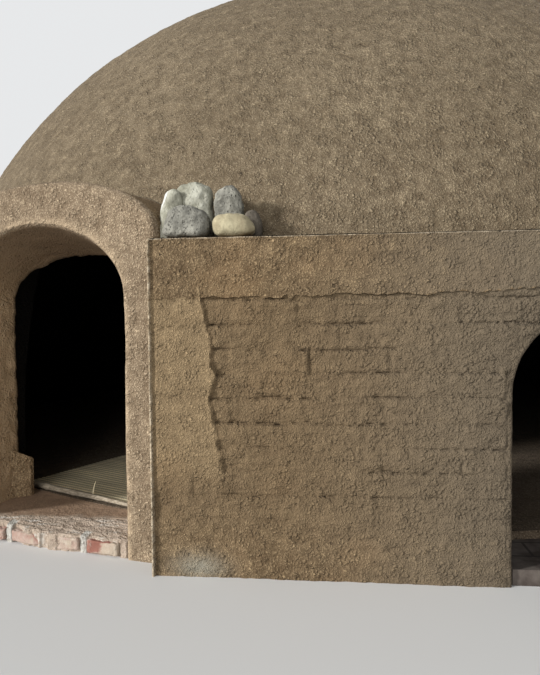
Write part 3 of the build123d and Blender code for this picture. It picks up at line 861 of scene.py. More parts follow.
def bench_courses(P):
    """Where a place lies in the wavering brick courses: the row's running number, the whole row and
    the running number of the brick in it."""
    size = bpy.context.scene.temazcal_bench
    waver = 0.009 * rough(P, 0.10, 3, 61) + 0.0035 * rough(P, 0.022, 2, 67)
    row = (P[..., 2] - 0.0394 + waver) / size.course
    number = np.floor(row).astype(np.int64)
    along = ((P[..., 0] - BENCH_X0 + 0.9 * waver) / size.brick + 0.5 * (number % 2)
             + 0.13 * hashed(number, 0, 0, 5))
    return row, number, along


def bench_joints(P):
    """How plainly a joint shows: thin lines between the courses and at some of the bricks' ends,
    that come and go with a noise, from 0 to 1. Two of them show plainly at the left."""
    size, z = bpy.context.scene.temazcal_bench, P[..., 2]
    row, number, along = bench_courses(P)
    wide = 0.0035 + 0.0045 * rough(P, 0.02, 3, 76)
    line = 1 - step(np.abs(row - np.round(row)) * size.course, 0.4 * wide, wide + 0.004)
    some = hashed(number, np.floor(along).astype(np.int64), 3, 12) > 0.35
    end = (1 - step(np.abs(along - np.round(along)) * size.brick, 0.001, 0.008)) * some
    show = step(rough(P * [0.6, 1, 1], 0.13, 3, 64), -0.20, 0.25)
    strong = bell((z, 0.595, 0.03)) + bell((z, 0.688, 0.03))
    strong = strong * (1 - step(P[..., 0], -0.35, -0.1)) + 0.15
    joints = np.maximum(show, strong) * line + 0.45 * show * end * (1 - line)
    return np.clip(joints, 0, 1) * step(z, 0.12, 0.34)


def patch_cracks(P):
    """Three crumbled cracks from the bench's left end, each at a height and to a reach, from 0 to 1."""
    x = P[..., 0] - BENCH_X0
    z = P[..., 2] + 0.007 * rough(P, 0.025, 3, 68)
    out = sum(bell((z, level, 0.0055)) * (1 - step(x, far - 0.03, far + 0.02))
              for level, far in ((0.958, 0.18), (0.696, 0.14), (1.062, 0.30)))
    return out * step(rough(P, 0.03, 3, 69), -0.4, 0.1) * step(x, 0.015, 0.04)


# Depth of each of the bench's coats behind its true face: everywhere, and by the broad, the drawn and
# the crumbled noise and by clods, which stand out of it
ROUGH_COAT = (0.0060, 0.0035, 0.0100, 0.0065, -0.0060)
SMOOTH_COAT = (0.0050, 0.0020, 0.0020, 0.0022, 0.0)
BAND_COAT = (0.0030, 0.0030, 0.0030, 0.0036, -0.0020)
COURSE_GROOVE, COURSE_TILT, BRICK_OFFSET, CRACK_DEPTH = 0.0085, 0.0070, 0.0036, 0.0065


def bench_relief(P, s):
    """Relief of the bench's plaster, inward from its true faces: a proud band at the top, brick
    courses that show through below it, a smooth proud patch at the left, and rough work low down."""
    x, z = P[..., 0] - BENCH_X0, P[..., 2]
    front = step(-s["N"][..., 1], 0.5, 0.9)
    clods = np.maximum(rough(P * [0.7, 1, 1.0], 0.036, 2, 67) - 0.05, 0)
    drawn, crumb = even(P * [0.30, 1, 1.5], 0.045, 3, 63), even(P, 0.024, 2, 66)
    layers = (1.0, even(P, 0.30, 2, 62), drawn, crumb, clods)
    depth, wall, smooth = (sum(d * layer for d, layer in zip(coat, layers))
                           for coat in (BAND_COAT, ROUGH_COAT, SMOOTH_COAT))
    if s["body"]:
        row, number, along = bench_courses(P)
        courses = (COURSE_GROOVE * bench_joints(P) - COURSE_TILT * (row - number - 0.5)
                   + BRICK_OFFSET * hashed(number, np.floor(along).astype(np.int64), 0, 9))
        clump = bell((P[..., 0], -0.40, 0.10), (z, 1.045, 0.035)) * (0.5 + rough(P, 0.03, 2, 69))
        wall = wall + step(z, 0.10, 0.34) * courses - 0.007 * clump
        left = patch_edge(P)
        patch = step(left, -0.002, 0.002) * step(z, 0.33, 0.47)
        lifted = bell((left, 0.006, 0.006)) * step(z, 0.42, 0.55)
        scratch = (bell((z + 0.010 * rough(P, 0.05, 3, 77), 0.915, 0.004))
                   + bell((z + 0.006 * rough(P, 0.05, 3, 78), 0.662, 0.004)) * (x < 0.16))
        smooth = (smooth - 0.0022 * lifted
                  + 0.0040 * scratch * step(x, 0.02, 0.05) * even(P, 0.02, 2, 68))
        depth = wall * (1 - patch) + smooth * patch
    end = frayed_end(P)
    bead, top = 1 - step(end, 0.011, 0.018), 1 - step(BENCH_TOP - z, 0.004, 0.018)
    depth = (depth * (1 - 0.9 * bead) + 0.0045 * bell((end, 0.023, 0.006))
             + CRACK_DEPTH * patch_cracks(P) * front)
    return -depth * (1 - 0.6 * top) * front - (1 - front) * (0.002 + 0.004 * drawn + 0.002 * crumb)


def plan(*parts):
    """Places and outward directions of the parts of a plan in a row, as columns."""
    return [np.concatenate(column)[:, None]
            for column in zip(*(np.broadcast_arrays(*part) for part in parts))]


def bench_front(low, high):
    """Plan of a straight piece of the bench's front."""
    return spread(low, high, bpy.context.scene.temazcal_bench.mesh_pitch), BENCH_Y, 0, -1


def bench_ends(left_back=-3.30, right_back=-3.10, pitch=0.012):
    """Plans of the bench's left and right returns, each with its arris, in their order."""
    x0, x1, y0 = BENCH_X0, BENCH_X1, BENCH_Y + ARRIS
    c, s = (q[:-1] for q in quarter(6, 1))
    return (((x0, spread(left_back, y0, pitch), -1, 0),
             (x0 + ARRIS - ARRIS * c, y0 - ARRIS * s, -c, -s)),
            ((x1 - ARRIS + ARRIS * s, y0 - ARRIS * c, s, -c),
             (x1, spread(y0, right_back, pitch), 1, 0)))


def upright(line, low, high, rows):
    """Upright face over a plan, from a lower to an upper edge."""
    X, Y, NX, NY = line
    k = shares(rows)
    Z = np.broadcast_to(low, X.shape) * (1 - k) + high * k
    return surface(points(X, Y, Z), points(NX, NY, 0 * Z))


class OBJECT_OT_temazcal_bench(bpy.types.Operator):
    """Build the bench's plastered face with its fire mouth, and the shelf on it"""
    bl_idname = "object.temazcal_bench"
    bl_label = "Bench"

    def execute(self, context):
        finish = self.finish(context.scene.temazcal_plaster)
        self.body(finish, context.scene.temazcal_bench.mesh_pitch)
        self.shelf(finish)
        return {"FINISHED"}

    def body(self, finish, pitch, n_arch=110, n_lip=8, n_run=34):
        """The face round the fire mouth, and the mouth's lip and passage along its outline."""
        mouth = MOUTH_R + MOUTH_LIP
        left, right = bench_ends()
        face_1 = bench_front(BENCH_X0 + ARRIS, MOUTH_X - mouth)
        face_2 = bench_front(MOUTH_X + mouth, BENCH_X1 - ARRIS)
        over_mouth = (MOUTH_X - mouth * np.cos(np.linspace(0, pi, n_arch)[1:-1]), BENCH_Y, 0, -1)
        low_rows, high_rows = (int(high / pitch) for high in (MOUTH_SPRING, CAP_LOW - MOUTH_SPRING))
        line = plan(*left, face_1, over_mouth, face_2, *right)
        reach = np.clip(1 - ((line[0] - MOUTH_X) / mouth) ** 2, 0, 1)
        foot = MOUTH_SPRING + mouth * np.sqrt(reach) * (np.abs(line[1] - BENCH_Y) < 1e-9)
        body = [upright(plan(*left, face_1), 0.0, MOUTH_SPRING, low_rows + 1),
                upright(plan(face_2, *right), 0.0, MOUTH_SPRING, low_rows + 1),
                upright(line, foot, CAP_LOW + 0.050, high_rows + 9)]

        rise, angle = np.linspace(0, MOUTH_SPRING, low_rows + 1), np.linspace(pi, 0, n_arch)[1:-1]
        ox = np.concatenate([-1 + 0 * rise, np.cos(angle), 1 + 0 * rise])[:, None]
        oz = np.concatenate([0 * rise, np.sin(angle), 0 * rise])[:, None]
        height = np.concatenate([rise, MOUTH_SPRING + 0 * angle, rise[::-1]])[:, None]
        (c, s), run = quarter(n_lip), shares(n_run + 1, 1)
        radius = np.concatenate([mouth - MOUTH_LIP * s, np.full(n_run, MOUTH_R)])
        X, Z = MOUTH_X + ox * radius, height + oz * radius
        inner = np.sqrt(np.maximum(dome_radius_at(Z, WALL) ** 2 - X ** 2, 0))
        Y = BENCH_Y + np.concatenate([MOUTH_LIP * (1 - c), 0 * run]) + 0 * X
        Y[:, n_lip:] = (BENCH_Y + MOUTH_LIP) * (1 - run) + (-inner[:, n_lip:] + LAP) * run
        toward = np.concatenate([-s, -np.ones(n_run)])
        N = points(toward * ox, np.concatenate([-c, 0 * run]), toward * oz)
        soot = np.concatenate([np.linspace(0.0, 0.6, n_lip), np.ones(n_run)])
        body.append(surface(points(X, Y, Z), N, soot=soot))
        piece("bench_body_plaster", [relieved(self.masked(s, True), bench_relief) for s in body],
              finish, ["bench_left_mass", "bench_right_pier", "fire_mouth_arch"])

    def shelf(self, finish):
        """The band down to its ragged edge, its arris, and the top back into the dome."""
        left, right = bench_ends()
        front = bench_front(BENCH_X0 + ARRIS, BENCH_X1 - ARRIS)
        line = X, Y, NX, NY = plan(*left, front, *right)
        at = points(X, 0.0, 0.0)
        edge = np.interp(X, (-0.889, -0.454, -0.16, 0.385, 0.543), (1.063, 1.073, 1.075, 1.077, 1.09))
        edge = edge + 0.006 * rough(at, 0.08, 3, 71) + 0.006 * rough(at, 0.022, 3, 72)
        edge = edge - 0.012 * bell((X, -0.36, 0.05)) * (0.6 + lumps(at, 0.02, 74))
        band = upright(line, edge, BENCH_TOP - ARRIS, 30)
        c, s = quarter(6, 1)
        back = ARRIS * (1 - c)
        arris = surface(points(X - NX * back, Y - NY * back, BENCH_TOP - ARRIS + ARRIS * s),
                        points(NX * c, NY * c, s))
        band = surface(*(np.concatenate([face[k] for face in (band, arris)], 1) for k in "PN"))
        band = relieved(self.masked(band, False), bench_relief)
        x, k = front[0][:, None], shares(36)
        dome = 0.03 - np.sqrt(dome_radius_at(BENCH_TOP) ** 2 - x ** 2)
        top = surface(points(x, (BENCH_Y + ARRIS) * (1 - k) + dome * k, BENCH_TOP), UP)
        top = relieved(self.masked(top, False), lambda P, s: -0.003 - 0.002 * lumps(P, 0.2, 81)
                       - 0.0015 * rough(P, 0.04, 2, 82))
        foot = band["P"][:, :1]
        tuck = surface(np.concatenate([foot - 0.03 * points(NX, NY, 0.0), foot], 1), -UP)
        piece("shelf_plaster", [band, top, tuck], finish, ["shelf_cap"])

    def masked(self, s, body):
        """Marks where the plaster is sooty, smooth, bare or cracked, where its edges are pale with dust and
        painted highlight, where it is pale at the foot, where painted shade darkens and cools the front
        towards the right, and where a painted shadow lies just right of the patch's lifted edge.
        The marks of the courses and the patch are on the body only."""
        P = s["P"]
        x, z = P[..., 0] - BENCH_X0, P[..., 2]
        front = s["N"][..., 1] < -0.3
        r = np.hypot(P[..., 0] - MOUTH_X, np.maximum(z - MOUTH_SPRING, 0))
        smoke = (1 - step(r, MOUTH_R, MOUTH_R + 0.20)) * (0.6 + 0.4 * rough(P, 0.06, 2, 73))
        smoke = smoke + 0.33 * (1 - step(r, MOUTH_R + 0.05, MOUTH_R + 0.62)) * (1 - smoke)
        fray = frayed_end(P) - x
        # pale dust and painted highlight along the left end and the top edge
        edge = np.maximum(1 - step(x + fray, 0.011, 0.016), 1 - step(BENCH_TOP - z + fray, 0.003, 0.010))
        edge = edge * (0.30 + 0.70 * step(rough(P, 0.020, 3, 79), -0.45, 0.35))
        patch = step(patch_edge(P), -0.004, 0.004) * step(z, 0.30, 0.50) * front * body
        # painted shadow just right of the patch's lifted edge
        rim = bell((patch_edge(P), -0.005, 0.006)) * step(z, 0.42, 0.55)
        line = np.maximum(bench_joints(P) * (1 - patch), patch_cracks(P))
        # painted shade darkening and cooling the front towards the right
        marks = {"soot": np.maximum(s["masks"].get("soot", 0), 0.40 * smoke), "patch": patch,
                 "grey": step(P[..., 0], -0.45, 0.55) * front, "arris": edge * front,
                 "pale": bell((x, 0.19, 0.10), (z, 0.04, 0.05)) * front, "rim": rim * front * body,
                 "line": line * front * body, "bare": (1 - patch) * step(z, 0.05, 0.3) * front * body}
        return {**s, "masks": marks, "body": body}

    def finish(self, look):
        """Plaster with its marks: warm clouds, bare and smooth parts, joints, edges pale with dust and
        painted highlight, soot, painted shade towards the right and a painted shadow by the patch's edge.
        """
        m, base, height = plaster_finish("bench_plaster", look.bench_colour, grain=look.grain,
                                         streak=0.90, drawn=((0.25, 1.0, 1.0), (0.0, 0.08, 0.0)))
        broken = m.noise(0.03, 3, 0.6).ramp(0.35, 0.55)
        base = m.coats(base, (m.noise(0.16, 3, 0.5).ramp(0.5, 0.7) * 0.2, (1.12, 0.95, 0.80)),
                       (m.mask("bare") * 0.55, (0.62, 0.60, 0.58)),
                       (m.mask("line") * broken * 0.44, (0.26, 0.23, 0.20)),
                       (m.mask("patch") * 0.22, (1.70, 1.75, 1.75)),
                       # painted shadow by the patch's edge
                       (m.mask("rim") * 0.40, (0.40, 0.35, 0.29)),
                       # painted shade, darker and cooler towards the right
                       (m.mask("grey") * 0.75, (0.62, 0.70, 0.86)), of=look.bench_colour)
        base = m.coats(base, (m.mask("pale") * 0.6, (0.300, 0.290, 0.235)),
                       # pale dust and painted highlight on the arris
                       (m.mask("arris") * 0.80, EDGE_DUST_AND_HIGHLIGHT),
                       (m.mask("soot") * 0.9, (0.030, 0.022, 0.017)))
        return m.shade(base, DRY, height)


def sill_front(u):
    """How far in the sill's slanting front edge lies at a reach."""
    return SILL_FRONT + SILL_SLANT * u


class OBJECT_OT_temazcal_step(bpy.types.Operator):
    """Build the step bricks, their mortar, the sill and the stub on the left jamb"""
    bl_idname = "object.temazcal_step"
    bl_label = "Step and sill"

    def execute(self, context):
        look = context.scene.temazcal_plaster
        self.sill(look)
        self.bricks()
        self.mortar()
        self.stub(look)
        return {"FINISHED"}

    def sill(self, look):
        """Side to side across the passage, from the front's foot over its rounding to the room."""
        n_low, n_bend, n_flat, r, foot = 8, 7, 60, 0.014, 0.02
        share, (c, s) = np.linspace(-1, 1, 90)[:, None], quarter(n_bend)
        u = share * (DOOR_HALF + 0.012)
        lead = sill_front(u)
        V = lead + np.concatenate([np.zeros(n_low), r * (1 - c)])
        Z = np.concatenate([np.linspace(foot, FLOOR_TOP - r, n_low), FLOOR_TOP - r + r * s])
        k = shares(n_flat, 1)
        far = (lead + r) * (1 - k) + (door_depth(u, FLOOR_TOP, WALL) + 0.06) * k
        wide = share * (DOOR_HALF + 0.012 + np.maximum(far - THROAT, 0) * SPLAY)
        V, U, Z = (np.concatenate(q, 1) for q in ((V, far), (u + 0 * V, wide),
                                                  (Z + 0 * V, FLOOR_TOP + 0 * far)))
        N = door_way(0.0, np.concatenate([-np.ones(n_low), -c, 0 * k]),
                     np.concatenate([np.zeros(n_low), s, 1 + 0 * k]))
        sill = relieved(surface(door_place(U, V, Z), N), lambda P, s:
                        -0.0030 - 0.0030 * lumps(P, 0.16, 91) - 0.0012 * rough(P, 0.03, 2, 92))
        ragged = V - lead - 0.022 - 0.045 * rough(sill["P"], 0.05, 4, 93)
        sill["masks"] = {"dust": 1 - step(ragged, -0.022, 0.040)}
        m, base, height = plaster_finish("sill_plaster", look.sill_colour, grain=0.15, streak=0.3,
                                         speck=0.30)
        base = m.coats(base, (m.mask("dust") * 0.75, (0.330, 0.262, 0.200)))
        piece("sill_worn_plaster", [sill], m.shade(base, 0.9, height), ["door_sill"])

    def bricks(self):
        """Rounded blocks with worn corners, one of them with a broken end."""
        m = Finish("step_brick")
        mottle, fine = m.noise(0.05, 4, 0.6), m.noise(0.005, 3, 0.7)
        cloud = mottle.ramp(0.35, 0.65)
        red = (m.mask("red") * 1.6 - m.noise(0.018, 4, 0.7) * 1.1 + 0.15).ramp(0.0, 1.0)
        dusty = (m.mask("dust") * 1.6 - m.noise(0.014, 4, 0.7) * 1.1 + 0.15).ramp(0.0, 0.6)
        base = m.mix(red, m.mix(cloud, (0.300, 0.205, 0.160), (0.400, 0.310, 0.255)),
                     m.mix(cloud, (0.215, 0.090, 0.065), (0.300, 0.140, 0.105)))
        base = m.coats(base, (dusty * 0.85, (0.400, 0.335, 0.255)),
                       (m.noise(0.02, 4, 0.65).ramp(0.50, 0.66) * 0.55, (0.420, 0.355, 0.290)),
                       (fine.ramp(0.42, 0.25) * 0.6, (0.150, 0.085, 0.065)))
        bricks = []
        for k, fired in enumerate((0.45, 0.45, 0.36, 0.20)):
            P, N = rounded_block((0.166, 0.130, 0.068), 0.20, 56, 110)
            wear = rough(P + k, 0.05, 3, 101 + k) * 0.0070 + rough(P + 2 * k, 0.016, 3, 111 + k) * 0.0045
            hollow = (k == 1) * bell((P[..., 0], 0.080, 0.030), (P[..., 1], -0.06, 0.05),
                                     (P[..., 2], 0.02, 0.03))
            P = P - N * (0.0078 + wear + 0.026 * hollow)[..., None]
            x, z, ragged = P[..., 0], P[..., 2], rough(P + 3 * k, 0.03, 3, 105)
            red = (fired + hollow + (k == 3) * 0.9 * step(z - 0.4 * x + 0.012 * ragged, -0.012, 0.0)
                   + (k == 0) * 0.6 * step(ragged, -0.1, 0.3))
            dust = (step(ragged, 0.1, 0.5) * 0.5 + (k == 2) * 0.35
                    + (k == 3) * step(x + 0.015 * ragged - 0.8 * z, 0.012, 0.026))
            u = x + (k - 1.5) * BRICK_PITCH + BRICK_SHIFT
            place = door_place(u, P[..., 1] + 0.069 - BRICK_SLANT * u, z + 0.034)
            bricks.append(surface(place, door_way(*np.moveaxis(N, -1, 0)), loop_columns=True,
                                  red=np.clip(red, 0, 1), dust=np.clip(dust, 0, 1)))
        piece("step_worn_bricks", bricks,
              m.shade(base, 0.94, mottle * 0.014 + fine * 0.004), ["step_bricks"], weld=0.0002)

    def mortar(self):
        """A sloping flaky bed with a ragged lower edge on the bricks, and the bricks' joints."""
        half, n_down, n_bed = 0.43, 16, 70
        u, k = np.linspace(-half, half, 300)[:, None], shares(n_bed)
        line = points(u, 0.0, 0.0)
        number = (u - BRICK_SHIFT) / BRICK_PITCH
        joint = 1 - step(np.abs(number - np.round(number)) * BRICK_PITCH, 0.013, 0.022)
        cover = np.interp(u, (-half, -0.19, -0.13, -0.09, 0.0, 0.06, 0.14, 0.2, half),
                          (0.042, 0.046, 0.036, 0.012, 0.006, 0.006, 0.010, 0.030, 0.034))
        edge = np.maximum(cover + 0.014 * rough(line, 0.06, 4, 121), 0.003)
        front = (edge * (1 - joint) + (0.021 + 0.007 * rough(line, 0.05, 3, 128)) * joint
                 - BRICK_SLANT * u + 0.0025 * lumps(line, 0.012, 122))
        V = front * (1 - k) + (sill_front(u) + 0.02) * k
        place = points(u, V, 0.0)
        flake = (0.0040 * rough(place * [0.22, 1, 1], 0.018, 3, 124)
                 + 0.0030 * rough(place, 0.03, 3, 125))
        bed = 0.0695 + 0.022 * np.clip((V - 0.01) / (sill_front(u) - 0.01), 0, 1)
        Z = np.clip(bed + flake - 0.005 * (1 - step(V - front, 0, 0.008)), 0.0655, 0.0945)
        down = shares(n_down)
        face = points(u, front + 0.0020 * lumps(points(u, down * 0.07, 0.0), 0.012, 126), Z[:, :1] * down)
        grid = np.concatenate([face, points(u, V, Z)[:, 1:]], 1)
        upward = np.arange(grid.shape[1]) >= n_down
        lime = (joint * (np.abs(np.round(number)) == 1)
                * (grid[..., 1] < front + 0.045 + 0.02 * rough(grid, 0.03, 2, 127)))
        strokes = ((0.20, 1.0, 1.0), (0, 0, 0.22))
        m, base, height = plaster_finish("step_mortar", (0.430, 0.350, 0.280), grain=0.5, streak=0.15,
                                         speck=0.45, drawn=strokes)
        flakes = m.noise(0.012, 4, 0.65, at=m.stretched(*strokes))
        base = m.coats(base, (m.mask("lime") * 0.55, (0.440, 0.460, 0.430)),
                       (flakes.ramp(0.54, 0.66) * 0.50, (0.520, 0.500, 0.450)),
                       (flakes.ramp(0.44, 0.34) * 0.35, (0.200, 0.140, 0.105)))
        piece("step_rough_mortar", [surface(door_place(*np.moveaxis(grid, -1, 0)),
                                            door_way(0.0, 1.0 * upward - 1, 1.0 * upward), lime=lime)],
              m.shade(base, DRY, height), ["step_mortar"])

    def stub(self, look):
        """A wedge of plaster against the left jamb, with a sloped top that closes on a point."""
        corner = np.array([[-0.432, 0.296], [-0.362, 0.386], [-0.362, 0.413], [-0.432, 0.413]])
        middle, n_side, n_top = np.array([-0.425, 0.385]), 40, 12
        t = np.linspace(0, len(corner) - 1, 90)
        line = np.stack([np.interp(t, range(len(corner)), corner[:, c]) for c in range(2)], -1)
        for _ in range(4):
            line[1:-1] = 0.25 * line[:-2] + 0.5 * line[1:-1] + 0.25 * line[2:]
        tangent = np.gradient(line, axis=0)
        out = unit(np.stack([tangent[:, 1], -tangent[:, 0]], -1))

        def top(u, v):
            """Height of the sloped top: it falls from the jamb, and further in."""
            reach = u + 0.432
            return 0.350 - 0.85 * reach - 0.7 * np.maximum(v - 0.30 - 1.3 * reach, 0)

        low, s = 0.09, shares(n_top, 1)
        u, v = line[:, :1], line[:, 1:]
        ut, vt = u * (1 - s) + middle[0] * s, v * (1 - s) + middle[1] * s
        side = np.broadcast_arrays(u, v, low + (top(u, v) - low) * shares(n_side),
                                   out[:, :1], out[:, 1:], 0.0)
        cap = np.broadcast_arrays(ut, vt, top(ut, vt), 0.25, 0.0, 1.0)
        U, V, Z, NU, NV, NZ = (np.concatenate(q, 1) for q in zip(side, cap))
        stub = relieved(surface(door_place(U, V, Z), unit(door_way(NU, NV, NZ))),
                        lambda P, s: -0.004 + 0.005 * rough(P, 0.06, 4, 131, 0.6))
        # painted light: the porch's plaster, made paler so that the stub looks lit
        m, base, height = plaster_finish("stub_plaster", tint(look.porch_colour, (1.25, 1.18, 1.05)),
                                         grain=0.8, streak=0.3)
        piece("jamb_rough_stub", [stub], m.shade(base, DRY, height), ["jamb_stub"])


def pole_place(reach, inward, up):
    """A point along the slanting line on which the stick and the mat's edge lie."""
    return door_place(reach, POLE_IN + tan(MAT_TURN) * reach + inward, FLOOR_TOP + up)


class OBJECT_OT_temazcal_stick(bpy.types.Operator):
    """Build the peeled stick that lies across the sill"""
    bl_idname = "object.temazcal_stick"
    bl_label = "Stick"

    def execute(self, context):
        first, last = pole_place(-0.449, 0, 0.0193), pole_place(0.369, 0, 0.0088)
        t = np.linspace(0, 1, 150)[:, None]
        b = np.linspace(0, 2 * pi, 40, endpoint=False)[None, :, None]
        along = unit(last - first)
        side = unit(np.cross(along, UP))
        knots = sum(0.12 * bell((t, c, 0.012)) for c in (0.13, 0.37, 0.58, 0.79))
        round_end = np.sqrt(np.clip(1 - (np.maximum(np.abs(t - 0.5) - 0.492, 0) / 0.008) ** 2, 0, 1))
        radius = (0.0185 * (1 - t) + 0.0082 * t) * (1 + knots - 0.06) * np.maximum(round_end, 0.02)
        axis = first * (1 - t) + last * t + 0.004 * np.sin(t * 7.0) * side
        N = np.cos(b) * side + np.sin(b) * np.cross(side, along)
        P = axis[:, None] + N * radius[..., None]
        P = P + N * (0.0006 * rough(P, 0.02, 2, 141) - 0.0006)[..., None]
        P[..., 2] = np.maximum(P[..., 2], FLOOR_TOP + 0.0004)
        low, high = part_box("sill_pole")
        P[..., :2] = np.clip(P[..., :2], low[:2], high[:2])
        m = Finish("pole_wood")
        grain = m.noise(0.004, 3, 0.6, at=m.stretched((0.05, 1, 1), (0, 0, radians(26))))
        blotch = m.noise(0.03, 3, 0.6)
        base = m.mix(grain.ramp(0.35, 0.65), (0.200, 0.160, 0.112), (0.400, 0.340, 0.255))
        base = m.coats(base, (blotch.ramp(0.5, 0.7) * 0.5, (0.150, 0.115, 0.080)))
        piece("peeled_stick", [surface(P, N, loop_columns=True)],
              m.shade(base, 0.8, grain * 0.0012 + blotch * 0.001), ["sill_pole"], weld=0)
        return {"FINISHED"}


class OBJECT_OT_temazcal_mat(bpy.types.Operator):
    """Weave the palm mat that lies on the floor inside, and the frayed end at its near edge"""
    bl_idname = "object.temazcal_mat"
    bl_label = "Mat"

    def execute(self, context):
        size = context.scene.temazcal_mat
        wide, long, strip, thick = 0.900, 1.750, size.strip, 0.0022
        gap = (0.019 + 0.008) / cos(MAT_TURN)
        corner = np.array([0.330, POLE_IN + tan(MAT_TURN) * 0.330 + gap])
        x, y = np.linspace(0, wide, 104)[:, None], np.linspace(0, long, 190)[None, :]
        u = corner[0] - x * cos(MAT_TURN) - y * sin(MAT_TURN)
        v = corner[1] - x * sin(MAT_TURN) + y * cos(MAT_TURN)
        bulge = 0.0022 * np.abs(np.sin(pi * y / strip)) * (0.7 + 0.3 * np.sin(pi * x / strip))
        wave = 0.0016 * (1 + lumps(points(x, y, 0.0), 0.25, 151))
        P = door_place(u, v, FLOOR_TOP + 0.0030 + bulge + wave)
        under = P - thick * UP
        rims = [surface(np.stack([P[i], under[i]], 1), side * DOOR_ALONG) for i, side in ((0, 1), (-1, -1))]
        rims += [surface(np.stack([P[:, j], under[:, j]], 1), side * DOOR_IN)
                 for j, side in ((0, -1), (-1, 1))]
        finish = self.finish(size.colour, strip)
        ob = piece("woven_palm_mat", [surface(P, UP), surface(under, -UP)] + rims, finish,
                   ["floor_mat"], weld=0.0001)

        # The frayed end: a tapering round blade that stands up along a bent line
        t = np.linspace(0, 1, 40)[:, None]
        b = np.linspace(0, 2 * pi, 12, endpoint=False)[None, :]
        foot, up = (-0.045, POLE_IN - tan(MAT_TURN) * 0.045 + 0.050), FLOOR_TOP + 0.004 + 0.075 * t
        r = 0.0042 * (1 - t) ** 0.6 + 0.0003 + 0.003 * bell((t, 0.12, 0.1))
        P = door_place(foot[0] + 0.020 * t ** 2 - 0.004 + r * np.cos(b), foot[1] + r * 0.5 * np.sin(b), up)
        N = np.broadcast_to(door_way(np.cos(b), np.sin(b), 0.0), P.shape)
        piece("frayed_palm_end", [surface(P, N, loop_columns=True)], finish, weld=0)
        return {"FINISHED"}

    def finish(self, colour, strip):
        """Palm strips: toned along their length, dark between the rows, with a fine twill."""
        m = Finish("palm_mat")
        own = m.stretched((1, 1, 1), (0, 0, -(DOOR_TURN + MAT_TURN)))
        along, across = m.part("Y", own), m.part("X", own)
        row, over = ((place * (pi / strip)).wave() for place in (along, across))
        twill = ((along * (pi / 0.012)) + (across * (pi / 0.016))).wave()
        tone = m.noise(0.05, 3, 0.6, at=m.stretched((0.15, 1, 1), at=own))
        base = m.mix(tone.ramp(0.3, 0.7), tint(colour, 0.75), tint(colour, 1.2))
        base = m.coats(base, (row.ramp(0.60, 0.05) * 0.90, 0.13), (twill.ramp(0.55, 0.10) * 0.45, 0.50),
                       (over.ramp(0.35, 0.05) * 0.3, 0.45), of=colour)
        return m.shade(base, 0.8, row * 0.0012 + over * 0.0004)


# Shelf stones: node, roundness (the power of the planes), their planes by azimuth, elevation and
# distance as a share of the half size that way, relief of lumps and grains, finish, and how far the
# stone bulges past its construction block at the left
STONES = (
    ("shelf_stone_porous", 5, ((172, 42, 0.90), (200, 15, 1.02), (14, 44, 0.98), (285, 45, 1.06)),
     0.012, 0.0040, "porous", 0.0),
    ("shelf_stone_ochre", 3.4, ((6, 40, 0.96), (174, 58, 0.95), (300, 40, 1.06)),
     0.008, 0.0004, "river", 0.0),
    ("shelf_stone_pale", 9, ((222, 24, 0.94), (168, 42, 1.06), (20, 44, 1.00), (300, 5, 1.0)),
     0.010, 0.0016, "pale", 0.022),
    ("shelf_stone_green", 7, ((266, 50, 1.02), (188, 38, 1.16), (352, 30, 1.12), (232, 5, 1.05),
                              (270, -28, 1.05)), 0.018, 0.0028, "pale", 0.055),
    ("shelf_stone_grey", 7, ((8, 42, 0.96), (176, 58, 1.08), (300, 24, 1.04), (250, 12, 1.04)),
     0.016, 0.0034, "porous", 0.006),
    ("shelf_stone_brown", 5, ((10, 40, 0.96), (160, 50, 1.0), (290, 30, 1.0)),
     0.008, 0.0016, "dark", 0.0),
)
SPLIT_STONE, SPLIT_WAY = "shelf_stone_pale", (222, 24)

# Stone finishes: slot, dark and light tint, and how pitted it is
STONE_LOOKS = {
    "porous": ("grey_stone", (0.135, 0.129, 0.108), (0.295, 0.282, 0.236), 1.0),
    "pale": ("grey_stone", (0.230, 0.220, 0.165), (0.400, 0.390, 0.320), 0.45),
    "river": ("ochre_stone", (0.270, 0.225, 0.140), (0.420, 0.370, 0.240), 0.12),
    "dark": ("ochre_stone", (0.070, 0.058, 0.045), (0.130, 0.110, 0.085), 0.4),
}


def toward(azimuth, elevation):
    """The direction at an azimuth and an elevation in degrees."""
    a, e = radians(azimuth), radians(elevation)
    return np.array([cos(a) * cos(e), sin(a) * cos(e), sin(e)])


def boulder(low, high, power, planes, seed, lump, grain):
    """A stone in a box: along each direction it reaches to where the power sum of the planes' shares
    is one, which rounds their edges. Planes are the box's six and those of its breaks."""
    half, centre = (high - low) / 2, (high + low) / 2
    a, b = ball(68, 126)
    way = points(np.cos(a) * np.cos(b), np.cos(a) * np.sin(b), np.sin(a))
    sides = [(k * 90, 0, 1.0) for k in range(4)] + [(0, 90, 1.0), (0, -90, 1.0)]
    total = sum((np.maximum(way @ toward(*at), 0) / share) ** power for *at, share in (*sides, *planes))
    P, N = way * (total ** (-1 / power))[..., None] * half, unit(way / half)
    P = P * (1 - (lump + grain) / half.min() * 0.15)
    relief = lump * rough(P + seed, 0.07, 3, 160 + seed) + grain * rough(P + seed, 0.012, 3, 180 + seed)
    P = P + N * relief[..., None] + centre
    P[..., 2] = np.maximum(P[..., 2], low[2] - 0.002)
    return P, N


